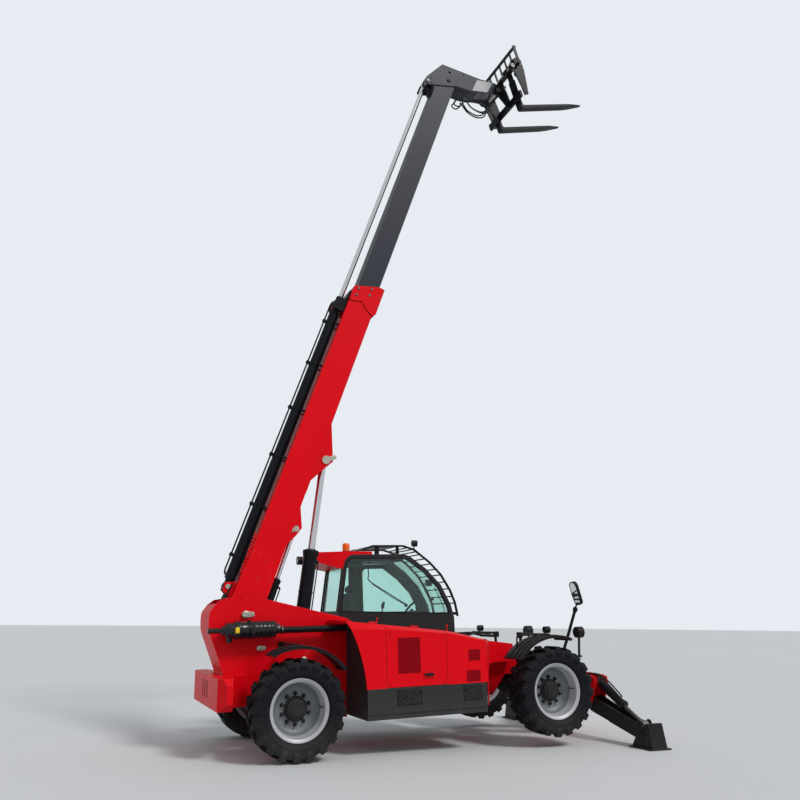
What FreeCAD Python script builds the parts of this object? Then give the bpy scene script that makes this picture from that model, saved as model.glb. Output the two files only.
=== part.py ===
"""Telehandler standing on its front stabilisers, boom raised and run out.

Everything is drawn on a level chassis: X forward from the rear axle, Y to the left of the
centreline, Z up from the ground under the rear wheels. Boom pieces are drawn along the boom
(u along it from the pivot, v towards its top side) and carriage pieces from the carriage
pivot (f along the forks, n square to them). stance() then tips the machine nose up by the
angle that the stabilisers lift it, and the last step puts the origin in the middle of the base.
"""
import FreeCAD, Part
import math
import os
from FreeCAD import Vector

# Stance: the stabilisers lift the front axle
NOSE_UP = 1.967
WHEELBASE = 3300.0

# Wheels and axles
TYRE_R = 533.0
TYRE_W = 400.0
TRACK_Y = 985.0
RIM_R = TYRE_R - 203.0
RIM_W = 330.0
RIM_SEAT_R = RIM_R - 26.0
RIM_WELL_R = RIM_R - 46.0
RIM_WALL = 10.0
DISC_DEPTH = 200.0
DISC_T = 16.0
HUB_R = 120.0
HUB_OUT = 72.0
HUB_CAP_R = 78.0
STUD_PCD = 320.0
STUDS = 10
STUD_R = 11.0
STUD_OUT = 42.0
LUGS = 18
LUG_DEPTH = 34.0
LEFT_WHEELS_TURN = 13.0
KINGPIN_Y = 800.0
KINGPIN_R = 26.0
KNUCKLE_R = 92.0
KNUCKLE_H = 92.0
YOKE_T = 30.0
AXLE_R = 78.0
DIFF_R = 160.0
MUDGUARD_R = TYRE_R + 122.0
MUDGUARD_T = 8.0
ARCH_Z = TYRE_R + 167.0

# Chassis
FRAME_IN = 290.0
PLATE_T = 25.0
FRAME_OUT = FRAME_IN + PLATE_T
FRAME_FRONT = WHEELBASE + 1105.0
FRAME_FLOOR = 450.0
REAR_X = 835.0

# Boom, measured from its pivot
PIVOT_X = -450.0
PIVOT_Z = 1550.0
BOOM_ANGLE = 69.7
PIN_R = 42.0
OUTER_HALF = 185.0
OUTER_TOP = 180.0
OUTER_BOTTOM = -205.0
OUTER_WALL = 10.0
OUTER_LENGTH = 4800.0
INNER_HALF = 140.0
INNER_TOP = 125.0
INNER_BOTTOM = -180.0
INNER_WALL = 10.0
INNER_TAIL = 4000.0
STROKE = 3900.0
PAD_GAP = 0.5

# Boom cylinders
EXT_V = 275.0
EXT_BASE_U = 255.0
EXT_MOUTH_U = OUTER_LENGTH - 350.0
EXT_EYE_U = 8740.0
EXT_R = 70.0
EXT_ROD_R = 35.0
EXT_PIN_R = 30.0
EXT_EYE_PIN_R = 25.0
EXT_EYE_HALF = 23.0
LIFT_BASE = (270.0, 1000.0)
LIFT_PIN_UV = (2198.0, -318.0)
LIFT_BARREL = 1340.0
LIFT_R = 88.0
LIFT_ROD_R = 46.0
LIFT_STROKE = 1060.0
LIFT_LUG_IN = 1.12 * LIFT_R + 6
COMP_BASE = (-275.0, 1160.0)
COMP_PIN_UV = (1214.0, -272.0)
COMP_BARREL = 850.0
COMP_R = 50.0
COMP_ROD_R = 26.0
COMP_STROKE = 495.0
COMP_PIN_R = 30.0
COMP_EYE_PIN_R = 28.0

# Head and carriage
HEAD_HALF = INNER_HALF + 0.3
HEAD_T = 15.0
LASHING_UV = (9130.0, -13.0)
LASHING_R = 24.0
TILT_PIVOT = (3620.0, 9980.0)
TILT_PIVOT_R = 35.0
FORK_ANGLE = 16.0
TILT_BASE_UV = (8980.0, -50.0)
TILT_EYE_FN = (150.0, 125.0)
TILT_BARREL = 640.0
TILT_R = 48.0
TILT_ROD_R = 27.0
TILT_STROKE = 215.0
TILT_PIN_R = 28.0
TILT_EYE_PIN_R = 26.0
CARRIAGE_HALF = 520.0
BACKREST_HALF = 600.0
FORK_Y = 330.0
FORK_LENGTH = 1250.0
FORK_W = 125.0
FORK_T = 45.0
FORK_BACK = 190.0
FORK_SOLE = -465.0
SHAFT_FN = (161.0, 225.0)
SHAFT_R = 28.0
SHAFT_GAP = 70.0

# Engine side
SIDE_Y = 1080.0
COVER_IN = 337.0
PANEL_T = 20.0
SKIRT_TOP = 690.0
SKIRT_BOTTOM = 355.0
HOOD_X = (1050.0, 1820.0)
SEAM = 6.0
HOOD_HINGE_Y = -363.0
HOOD_HINGE_UP = 12.0

# Cab
CAB_IN = 318.0
CAB_OUT = 1120.0
CAB_WALL = 45.0
GLASS_T = 6.0
GLASS_GAP = 0.4
FLOOR_Z = 830.0
HINGE_X = 1444.0
HINGE_Y = CAB_OUT + 14.0

# Stabilisers, on the right side; the left one is their mirror image
STAB_X = WHEELBASE + 1000.0
LEG_HALF = 84.0
EAR_T = 20.0
RAM_EAR_T = 14.0
EAR_GAP = 6.0
LEG_PIVOT = (-500.0, 290.0)
FOOT_PIN = (-1560.0, 17.0)
RAM_BASE = (-640.0, 555.0)
RAM_EYE = (-1487.0, 113.0)
RAM_BARREL = 560.0
RAM_R = 54.0
RAM_ROD_R = 25.0
RAM_STROKE = 320.0
RAM_EYE_PIN_R = 22.0
STAB_PIN_R = 25.0
FOOT_L = 400.0
FOOT_W = 320.0
FOOT_T = 18.0
FOOT_PLATE_T = 12.0
FOOT_BORE_PLAY = 4.8
FOOT_GAP = 12.0

CLEAR = 0.05
SEAT = 0.3


def rad(deg):
    return math.radians(deg)


def boom_xz(u, v):
    """Chassis X, Z of a point drawn along the boom."""
    c, s = math.cos(rad(BOOM_ANGLE)), math.sin(rad(BOOM_ANGLE))
    return PIVOT_X + u * c - v * s, PIVOT_Z + u * s + v * c


def fork_xz(f, n):
    """Chassis X, Z of a point drawn from the carriage pivot."""
    c, s = math.cos(rad(FORK_ANGLE)), math.sin(rad(FORK_ANGLE))
    return TILT_PIVOT[0] + f * c - n * s, TILT_PIVOT[1] + f * s + n * c


def box(x0, x1, y0, y1, z0, z1):
    return Part.makeBox(x1 - x0, y1 - y0, z1 - z0, Vector(x0, y0, z0))


def outline(points, place):
    """Closed wire through points; a point given as (via, end) is the arc through via."""
    edges = []
    last = points[0]
    for item in points[1:] + [points[0]]:
        if isinstance(item[0], tuple):
            via, end = item
            edges.append(Part.Arc(place(*last), place(*via), place(*end)).toShape())
            last = end
        else:
            if place(*item).distanceToPoint(place(*last)) > 1e-6:
                edges.append(Part.LineSegment(place(*last), place(*item)).toShape())
            last = item
    return Part.Wire(edges)


def slab(points, y0, y1, to_xz=None):
    """Outline in X, Z (or in boom or carriage terms) carried across from y0 to y1."""
    def place(a, b):
        x, z = to_xz(a, b) if to_xz else (a, b)
        return Vector(x, y0, z)
    return Part.Face(outline(points, place)).extrude(Vector(0, y1 - y0, 0))


def pair(points, half, thick, to_xz=None):
    """The same slab on both sides, its outer faces at +half and -half."""
    return slab(points, half - thick, half, to_xz).fuse(slab(points, -half, thick - half, to_xz))


def cross_slab(points, x0, x1):
    """Outline in Y, Z carried forward from x0 to x1."""
    wire = outline(points, lambda y, z: Vector(x0, y, z))
    return Part.Face(wire).extrude(Vector(x1 - x0, 0, 0))


def plan_slab(points, z0, z1):
    """Outline in X, Y carried up from z0 to z1."""
    wire = outline(points, lambda x, y: Vector(x, y, z0))
    return Part.Face(wire).extrude(Vector(0, 0, z1 - z0))


def rod(p, q, r):
    d = q - p
    return Part.makeCylinder(r, d.Length, p, d)


def cross_rod(xz, y0, y1, r):
    """Round bar across the machine, from y0 to y1."""
    return rod(Vector(xz[0], y0, xz[1]), Vector(xz[0], y1, xz[1]), r)


def fuse(shapes):
    first = shapes[0]
    return first.multiFuse(shapes[1:]).removeSplitter() if len(shapes) > 1 else first


def mirror(shape):
    """The left-hand copy of a right-hand piece."""
    return shape.mirror(Vector(0, 0, 0), Vector(0, 1, 0))


def ram_parts(base, eye, barrel, r, rod_r, half, pins, stroke, to_vec, axis):
    """Barrel and rod of a cylinder between two pins along axis; eyes are half wide on each side."""
    p, q = to_vec(base), to_vec(eye)
    d = (q - p).normalize()
    foot_r, eye_r = pins[0] + 0.45 * r, pins[1] + 0.45 * r
    mouth = p + d * barrel
    start = p + d * (pins[0] + 0.9 * r)
    neck = min(0.8 * r, half - 2)
    body = [rod(p - axis * half, p + axis * half, foot_r), rod(p + d * (0.6 * foot_r), start + d, neck),
            rod(start, mouth - d * (0.9 * r), r), rod(mouth - d * (0.9 * r), mouth, 1.12 * r)]
    bore = rod(p - axis * (half + 1), p + axis * (half + 1), pins[0] + CLEAR)
    inside = rod(p + d * (pins[0] + 1.6 * r), mouth + d, rod_r + CLEAR)
    barrel_shape = fuse(body).cut(bore).cut(inside)
    cavity = barrel - pins[0] - 1.6 * r
    inner = min(cavity - stroke - 10, 220.0)
    stem = [rod(mouth - d * inner, q - d * (0.6 * eye_r), rod_r), rod(q - axis * half, q + axis * half, eye_r)]
    eye_bore = rod(q - axis * (half + 1), q + axis * (half + 1), pins[1] + CLEAR)
    return barrel_shape, fuse(stem).cut(eye_bore)


def stub_pair(xz, y_in, y_out, r, head):
    """A pin shown as its two ends, so that a rod's eye can drift between them."""
    ends = []
    for s in (-1, 1):
        stub = cross_rod(xz, s * y_in, s * (y_out + head), r)
        ends.append(stub.fuse(cross_rod(xz, s * y_out, s * (y_out + head), 1.35 * r)))
    return Part.makeCompound(ends)


# Wheels

def spin(points):
    """Outline in (y, r) turned about the Y axis."""
    wire = outline(points, lambda y, r: Vector(0, y, r))
    return Part.Face(wire).revolve(Vector(0, 0, 0), Vector(0, 1, 0), 360)


def tyre():
    """Right-hand tyre on its own axis: carcass and two rows of slanted lugs."""
    half = TYRE_W / 2
    tread = TYRE_R - LUG_DEPTH
    seat = RIM_SEAT_R + SEAT
    bead = RIM_W / 2 - 20
    carcass = spin([(-bead, seat), (-bead, RIM_R - 4), (-half + 8, RIM_R + 70), (-half, RIM_R + 105),
                    (-half + 18, tread - 26), (-half + 50, tread), (half - 50, tread), (half - 18, tread - 26),
                    (half, RIM_R + 105), (half - 8, RIM_R + 70), (bead, RIM_R - 4), (bead, seat),
                    (bead - 30, seat), (half - 60, RIM_R + 90), (half - 80, tread - 30),
                    (-half + 80, tread - 30), (-half + 60, RIM_R + 90), (30 - bead, seat)])
    pitch = 2 * math.pi * TYRE_R / LUGS
    lug_w = 0.42 * pitch
    lean = 0.38 * pitch
    shape = [carcass]
    for row in (-1, 1):
        outer, inner = row * (half - 2), row * 12.0
        foot = [(-(lug_w + lean) / 2, outer), ((lug_w - lean) / 2, outer), ((lug_w + lean) / 2, inner),
                ((lean - lug_w) / 2, inner)]
        wire = outline(foot, lambda x, y: Vector(x, y, tread - 40))
        lug = Part.Face(wire).extrude(Vector(0, 0, LUG_DEPTH + 40))
        shoulder = cross_slab([(row * (half + 30), tread + 40), (row * (half - 45), TYRE_R + 1),
                               (row * (half + 30), TYRE_R + 1)], -pitch, pitch)
        lug = lug.cut(shoulder).common(rod(Vector(0, -half, 0), Vector(0, half, 0), TYRE_R))
        for k in range(LUGS):
            turn = 360.0 * (k + 0.25 * row) / LUGS
            copy = lug.copy()
            copy.rotate(Vector(0, 0, 0), Vector(0, 1, 0), turn)
            shape.append(copy)
    return shape[0].multiFuse(shape[1:])


def rim():
    """Right-hand rim with its disc set deep inside."""
    out, w, wall = -RIM_W / 2, RIM_W, RIM_WALL
    seat, well = RIM_SEAT_R, RIM_WELL_R
    disc = out + DISC_DEPTH
    barrel = spin([(out, RIM_R), (out + 12, RIM_R), (out + 20, seat), (out + 110, seat - 4), (out + 135, well),
                   (out + 225, well), (out + 250, seat - 4), (out + w - 20, seat), (out + w - 12, RIM_R),
                   (out + w, RIM_R), (out + w, RIM_R - wall), (out + w - 22, seat - wall - 4),
                   (out + 250, seat - wall - 6), (out + 228, well - wall), (out + 132, well - wall),
                   (out + 106, seat - wall - 6), (out + 22, seat - wall - 4), (out, RIM_R - wall)])
    flat = RIM_R - 100
    plate = spin([(disc, HUB_CAP_R + 6), (disc, flat), (disc - 18, well - wall + 1),
                  (disc - 18 + DISC_T, well - wall + 1), (disc + DISC_T, flat + 6), (disc + DISC_T, HUB_CAP_R + 6)])
    return barrel.fuse(plate)


def hub():
    """Planetary hub and its stud circle, seated on the disc."""
    disc = DISC_DEPTH - RIM_W / 2
    body = spin([(disc + 1, 0), (disc + 1, HUB_R + 4), (disc - 6, HUB_R + 4), (disc - 8, HUB_R),
                 (disc - HUB_OUT + 14, HUB_R - 8), (disc - HUB_OUT, HUB_CAP_R + 18), (disc - HUB_OUT, HUB_CAP_R),
                 (disc - HUB_OUT - 16, HUB_CAP_R - 6), (disc - HUB_OUT - 16, 0)])
    back = rod(Vector(0, disc - 1, 0), Vector(0, disc + DISC_T + 10, 0), HUB_CAP_R)
    studs = []
    for k in range(STUDS):
        a = 2 * math.pi * k / STUDS
        x, z = STUD_PCD / 2 * math.sin(a), STUD_PCD / 2 * math.cos(a)
        studs.append(rod(Vector(x, disc - STUD_OUT, z), Vector(x, disc + 4, z), STUD_R))
    return body.multiFuse([back] + studs)


def wheel():
    """Rim, disc and hub of one corner as one piece."""
    return rim().fuse(hub())


def knuckle():
    """Steering knuckle: kingpin boss between the yoke's ears and a spindle to the hub."""
    end = DISC_DEPTH - RIM_W / 2 + DISC_T + 10 + SEAT
    pin_y = TRACK_Y - KINGPIN_Y
    boss = rod(Vector(0, pin_y, -KNUCKLE_H), Vector(0, pin_y, KNUCKLE_H), KNUCKLE_R - 22)
    spindle = rod(Vector(0, end, 0), Vector(0, pin_y, 0), KNUCKLE_R)
    arm = box(-210, 0, pin_y - 34, pin_y + 6, -22, 22)
    bore = rod(Vector(0, pin_y, -KNUCKLE_H - 1), Vector(0, pin_y, KNUCKLE_H + 1), KINGPIN_R + CLEAR)
    shape = fuse([boss, spindle, arm])
    keep = box(-300, 300, -300, 300, -KNUCKLE_H, KNUCKLE_H)
    return shape.common(keep).cut(bore)


def wheel_set(make):
    """The four corners of one wheel piece, named by side and end."""
    shape = make()
    placed = {}
    for end, x in (("front", WHEELBASE), ("rear", 0.0)):
        right = shape.copy()
        right.translate(Vector(x, -TRACK_Y, TYRE_R))
        placed[end + "_right"] = right
        left = mirror(right)
        left.rotate(Vector(x, 0, TYRE_R), Vector(0, 1, 0), LEFT_WHEELS_TURN if make is wheel else 0.0)
        placed[end + "_left"] = left
    return placed


def axle(x):
    """Axle beam with its differential bulge and the yokes that hold the kingpins."""
    tip = KINGPIN_Y - KNUCKLE_R - 40
    parts = [cross_rod((x, TYRE_R), -tip, tip, AXLE_R)]
    bulge = Part.makeSphere(DIFF_R, Vector(x, 0, TYRE_R))
    parts.append(bulge)
    for s in (-1, 1):
        cheek = box(x - 70, x + 70, min(s * (tip - 30), s * tip), max(s * (tip - 30), s * tip),
                    TYRE_R - KNUCKLE_H - YOKE_T - 2, TYRE_R + KNUCKLE_H + YOKE_T + 2)
        parts.append(cheek)
        for up in (-1, 1):
            z0 = TYRE_R + up * (KNUCKLE_H + SEAT)
            z1 = TYRE_R + up * (KNUCKLE_H + YOKE_T)
            ear = plan_slab([(x - 60, s * (tip - 20)), (x + 60, s * (tip - 20)), (x + 60, s * KINGPIN_Y),
                             ((x, s * (KINGPIN_Y + 60)), (x - 60, s * KINGPIN_Y))], min(z0, z1), max(z0, z1))
            parts.append(ear)
        parts.append(rod(Vector(x, s * KINGPIN_Y, TYRE_R - KNUCKLE_H - YOKE_T - 8),
                         Vector(x, s * KINGPIN_Y, TYRE_R + KNUCKLE_H + YOKE_T + 8), KINGPIN_R))
    for s in (-1, 1):
        parts.append(box(x - 60, x + 60, s * FRAME_OUT - 60, s * FRAME_OUT + 60, TYRE_R + 40, ARCH_Z - SEAT))
    return fuse(parts)


def mudguards():
    """Four arched mudguards with their stays back to the frame."""
    parts = []
    for x, a0, a1, width in ((0.0, 37.0, 118.0, 380.0), (WHEELBASE, 68.0, 142.0, 400.0)):
        for s in (-1, 1):
            outer, inner = MUDGUARD_R + MUDGUARD_T, MUDGUARD_R
            def at(r, a):
                return (x + r * math.cos(rad(a)), TYRE_R + r * math.sin(rad(a)))
            mid = (a0 + a1) / 2
            band = [at(outer, a0), (at(outer, mid), at(outer, a1)), at(inner, a1), (at(inner, mid), at(inner, a0))]
            y0, y1 = s * (TRACK_Y - width / 2), s * (TRACK_Y + width / 2)
            cover = slab(band, min(y0, y1), max(y0, y1))
            top = at(outer + 12, 90.0)
            stay = cross_rod((top[0], top[1] - 4), s * (FRAME_OUT + SEAT), s * (TRACK_Y + 60), 16)
            y0, y1 = sorted((s * (FRAME_OUT + SEAT), s * (FRAME_OUT + 14)))
            pieces = [cover, stay, box(x - 45, x + 45, y0, y1, top[1] - 60, top[1] + 16)]
            if x > 0:
                post = rod(Vector(x, s * (FRAME_OUT + 26), top[1]), Vector(x, s * (FRAME_OUT + 26), 800), 20)
                pieces += [post, box(x - 60, x + 60, y0, y1, 770, 880)]
            parts.append(fuse(pieces))
    return parts


# Chassis

def frame():
    """Two long side plates, the closed back, floor, cross members and stabiliser ears."""
    w = WHEELBASE
    side = [(-690, 560), (-690, 905), (-860, 1355), ((-872, 1470), (-862, 1590)), (-796, 1679), (-717, 1734),
            (-564, 1755), (-503, 1707), (-445, 1764), (-313, 1750), (811, 1478), (1500, 1120), (w - 600, 960),
            (w + 350, 935), (w + 600, 740), (FRAME_FRONT, 650), (FRAME_FRONT, 250), (w + 600, 250), (w + 460, FRAME_FLOOR),
            (w + 260, ARCH_Z), (w - 260, ARCH_Z), (w - 460, FRAME_FLOOR), (480, FRAME_FLOOR), (300, ARCH_Z),
            (-300, ARCH_Z), (-420, 560)]
    parts = [pair(side, FRAME_OUT, PLATE_T)]
    back = [(-690, 905), (-860, 1355), ((-872, 1470), (-862, 1590)), (-796, 1679), (-782, 1668),
            (-845, 1585), ((-856, 1470), (-844, 1358)), (-674, 905)]
    parts.append(slab(back, -FRAME_IN, FRAME_IN))
    parts.append(box(-690, -674, -FRAME_IN, FRAME_IN, 560, 910))
    parts.append(box(-674, -300, -FRAME_IN, FRAME_IN, 560, 580))
    parts.append(box(500, w - 480, -FRAME_IN, FRAME_IN, FRAME_FLOOR, FRAME_FLOOR + 12))
    parts.append(box(w + 620, FRAME_FRONT, -FRAME_IN, FRAME_IN, 250, 270))
    parts.append(box(FRAME_FRONT - 20, FRAME_FRONT, -FRAME_IN, FRAME_IN, 250, 650))
    parts.append(box(w - 240, w + 240, -FRAME_IN, FRAME_IN, ARCH_Z, ARCH_Z + 20))
    parts.append(box(-280, 280, -FRAME_IN, FRAME_IN, ARCH_Z, ARCH_Z + 20))
    ear = [(-FRAME_IN, 255), (-560, 225), (-600, 300), (-694, 545), (-684, 620), (-600, 640), (-FRAME_IN, 655)]
    ram_ear = [(-FRAME_IN, 390), (-560, 430), (-664, 512), (-686, 545), (-682, 582), (-650, 602), (-FRAME_IN, 598)]
    ear_x = [STAB_X - LEG_HALF - EAR_GAP - EAR_T, STAB_X + LEG_HALF + EAR_GAP]
    ram_x = [STAB_X - RAM_R * 0.8 - SEAT - RAM_EAR_T, STAB_X + RAM_R * 0.8 + SEAT]
    for s in (-1, 1):
        for shape, stations, thick in ((ear, ear_x, EAR_T), (ram_ear, ram_x, RAM_EAR_T)):
            points = [(-s * y, z) for y, z in shape]
            for x in stations:
                parts.append(cross_slab(points, x, x + thick))
    lift_half = LIFT_R * 0.75
    for s in (-1, 1):
        parts.append(cross_rod(LIFT_BASE, s * (lift_half + SEAT), s * FRAME_IN, 75))
        parts.append(cross_rod(COMP_BASE, s * (COMP_R + SEAT), s * FRAME_IN, 60))
    shape = fuse(parts)
    for xz, r in ((LIFT_BASE, PIN_R), (COMP_BASE, COMP_PIN_R), ((PIVOT_X, PIVOT_Z), PIN_R)):
        shape = shape.cut(cross_rod(xz, -FRAME_OUT - 1, FRAME_OUT + 1, r + CLEAR))
    inner = RAM_R * 0.8 + SEAT + RAM_EAR_T + 1
    for s in (-1, 1):
        for (y, z), reach in ((LEG_PIVOT, 200), (RAM_BASE, inner)):
            hole = rod(Vector(STAB_X - reach, s * y, z), Vector(STAB_X + reach, s * y, z), STAB_PIN_R + CLEAR)
            shape = shape.cut(hole)
    return shape


def frame_pins():
    """Pivot pins of boom, cylinders and stabilisers, with their keeper plates."""
    parts = []
    for xz, r, dx in (((PIVOT_X, PIVOT_Z), PIN_R, 110), (LIFT_BASE, PIN_R, 0), (COMP_BASE, COMP_PIN_R, 80)):
        pin = cross_rod(xz, -FRAME_OUT - 30, FRAME_OUT + 30, r)
        if dx:
            for s in (-1, 1):
                keeper = slab([(xz[0], xz[1] - r), (xz[0] + dx, xz[1] - 22), (xz[0] + dx, xz[1] + 22),
                               (xz[0], xz[1] + r)], s * (FRAME_OUT + SEAT), s * (FRAME_OUT + 14))
                pin = pin.fuse(keeper)
        parts.append(pin)
    leg_reach = LEG_HALF + EAR_GAP + EAR_T + 10
    ram_reach = RAM_R * 0.8 + SEAT + RAM_EAR_T
    for s in (-1, 1):
        for (y, z), reach in ((LEG_PIVOT, leg_reach), (RAM_BASE, ram_reach)):
            parts.append(rod(Vector(STAB_X - reach, s * y, z), Vector(STAB_X + reach, s * y, z), STAB_PIN_R))
    return parts


def counterweight():
    """Cast rear bumper, bevelled along its top and bottom edges."""
    plan = [(-REAR_X, -820), (-REAR_X + 80, -950), (-690, -950), (-610, -500), (-430, -FRAME_OUT - 120),
            (-430, FRAME_OUT + 120), (-610, 500), (-690, 950), (-REAR_X + 80, 950), (-REAR_X, 820)]
    top, low = 878.0, 535.0
    body = plan_slab(plan, low, top)
    for s in (-1, 1):
        wedge = cross_slab([(s * 890, top + 1), (s * 960, top + 1), (s * 960, top - 80)], -REAR_X - 10, -300)
        body = body.cut(wedge)
        under = cross_slab([(s * 830, low - 1), (s * 960, low - 1), (s * 960, low + 85)], -REAR_X - 10, -300)
        body = body.cut(under)
    gap = SEAT
    slot = box(-690 - gap, -420, -FRAME_OUT - gap, FRAME_OUT + gap, low - 20, top + 10)
    body = body.cut(slot)
    for y in (-150, 0, 150):
        body = body.cut(box(-REAR_X - 1, -REAR_X + 60, y - 32, y + 32, low + 90, top - 60))
    return body


# Boom

def outer_boom():
    """Box-section outer boom, deeper at its foot, with its mouth collar and cylinder lugs."""
    skin = [(-150, -120), (-150, 120), (60, 205), (700, OUTER_TOP), (OUTER_LENGTH - 80, OUTER_TOP),
            (OUTER_LENGTH + 60, OUTER_BOTTOM), (1600, OUTER_BOTTOM), (250, OUTER_BOTTOM - 9), (-40, OUTER_BOTTOM - 5)]
    body = slab(skin, -OUTER_HALF, OUTER_HALF, boom_xz)
    w = OUTER_WALL
    cavity = [(80, OUTER_BOTTOM + w), (80, OUTER_TOP - w), (OUTER_LENGTH + 200, OUTER_TOP - w),
              (OUTER_LENGTH + 200, OUTER_BOTTOM + w)]
    body = body.cut(slab(cavity, w - OUTER_HALF, OUTER_HALF - w, boom_xz))
    e = OUTER_LENGTH
    collar = [(e - 310, 135), (e - 300, OUTER_TOP + 3), (e - 80, OUTER_TOP + 3), (e + 75, -165), (e + 73, -252),
              (e - 344, -252), (e - 395, -225), (e - 358, -127), (e - 257, 6)]
    ring = slab(collar, -OUTER_HALF - 12, OUTER_HALF + 12, boom_xz)
    ring = ring.cut(slab(cavity, w - OUTER_HALF, OUTER_HALF - w, boom_xz))
    parts = [body, ring]
    tongue = [(-149, -119), (-149, 119), (60, 198), (660, 174), ((748, 158), (742, 84)), ((640, -80), (400, -206)),
              (250, -210), (-40, -206)]
    for s in (-1, 1):
        side = slab(tongue, s * (OUTER_HALF - 1), s * (OUTER_HALF + 8), boom_xz)
        hook = slab([(445, -34), (445, 6), (463, 6), (463, -12), (510, -12), (510, -34)],
                    s * (OUTER_HALF + 2), s * (OUTER_HALF + 9), boom_xz)
        parts.append(side.cut(hook))
    parts.append(slab([(1550, OUTER_BOTTOM + 2), (1250, -340), (1130, -300), (950, -215)],
                      -COMP_R - 34, -COMP_R - 8, boom_xz))
    parts.append(slab([(1550, OUTER_BOTTOM + 2), (1250, -340), (1130, -300), (950, -215)],
                      COMP_R + 8, COMP_R + 34, boom_xz))
    lug = [(2730, OUTER_BOTTOM + 2), (2214, -414), (2095, -344), (1830, OUTER_BOTTOM + 2)]
    for s in (-1, 1):
        parts.append(slab(lug, s * LIFT_LUG_IN, s * (LIFT_LUG_IN + 30), boom_xz))
    ext = [(120, OUTER_TOP - 6), (200, EXT_V + 50), (292, EXT_V + 50), (334, EXT_V - 50), (336, OUTER_TOP - 6)]
    for s in (-1, 1):
        parts.append(slab(ext, s * (EXT_R * 0.75 + 1), s * (EXT_R * 0.75 + 23), boom_xz))
    saddle = [(e - 490, OUTER_TOP - 6), (e - 460, EXT_V + 62), (e - 360, EXT_V + 62), (e - 330, OUTER_TOP - 6)]
    for s in (-1, 1):
        parts.append(slab(saddle, s * (1.12 * EXT_R + 4), s * (1.12 * EXT_R + 22), boom_xz))
        parts.append(cross_rod((PIVOT_X, PIVOT_Z), s * (OUTER_HALF - 20), s * (FRAME_IN - SEAT), 95))
    shape = fuse(parts)
    shape = shape.cut(cross_rod((PIVOT_X, PIVOT_Z), -FRAME_IN, FRAME_IN, PIN_R + CLEAR))
    for uv, r in ((LIFT_PIN_UV, PIN_R), (COMP_PIN_UV, COMP_EYE_PIN_R), ((EXT_BASE_U, EXT_V), EXT_PIN_R)):
        shape = shape.cut(cross_rod(boom_xz(*uv), -OUTER_HALF - 20, OUTER_HALF + 20, r + CLEAR))
    return shape


def boom_pads():
    """Slide pads in the mouth, which guide the inner boom."""
    u0, u1 = OUTER_LENGTH - 260, OUTER_LENGTH - 120
    w = OUTER_WALL
    parts = []
    for s in (-1, 1):
        parts.append(slab([(u0, -60), (u0, 40), (u1, 40), (u1, -60)],
                          s * (INNER_HALF + PAD_GAP), s * (OUTER_HALF - w), boom_xz))
    for v0, v1 in ((INNER_TOP + PAD_GAP, OUTER_TOP - w), (OUTER_BOTTOM + w, INNER_BOTTOM - PAD_GAP)):
        parts.append(slab([(u0, v0), (u0, v1), (u1, v1), (u1, v0)], -90, 90, boom_xz))
    return parts


def boom_pins():
    """Pin ends in the boom's lugs for the lift and compensation rods, and the ram's foot pin."""
    lift = stub_pair(boom_xz(*LIFT_PIN_UV), LIFT_R * 0.75 + 7, LIFT_LUG_IN + 30 + SEAT, PIN_R, 16)
    comp = stub_pair(boom_xz(*COMP_PIN_UV), COMP_R + 7, COMP_R + 34 + SEAT, COMP_EYE_PIN_R, 12)
    foot = cross_rod(boom_xz(EXT_BASE_U, EXT_V), -EXT_R * 0.75 - 34, EXT_R * 0.75 + 34, EXT_PIN_R)
    return lift.Solids + comp.Solids + [foot]


def inner_boom():
    """Box-section inner boom, cut slanting at its head."""
    skin = [(INNER_TAIL, INNER_BOTTOM), (INNER_TAIL, INNER_TOP), (8760, INNER_TOP), (8930, INNER_BOTTOM)]
    body = slab(skin, -INNER_HALF, INNER_HALF, boom_xz)
    w = INNER_WALL
    bore = [(INNER_TAIL - 10, INNER_BOTTOM + w), (INNER_TAIL - 10, INNER_TOP - w), (8600, INNER_TOP - w),
            (8600, INNER_BOTTOM + w)]
    return body.cut(slab(bore, w - INNER_HALF, INNER_HALF - w, boom_xz))


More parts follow.
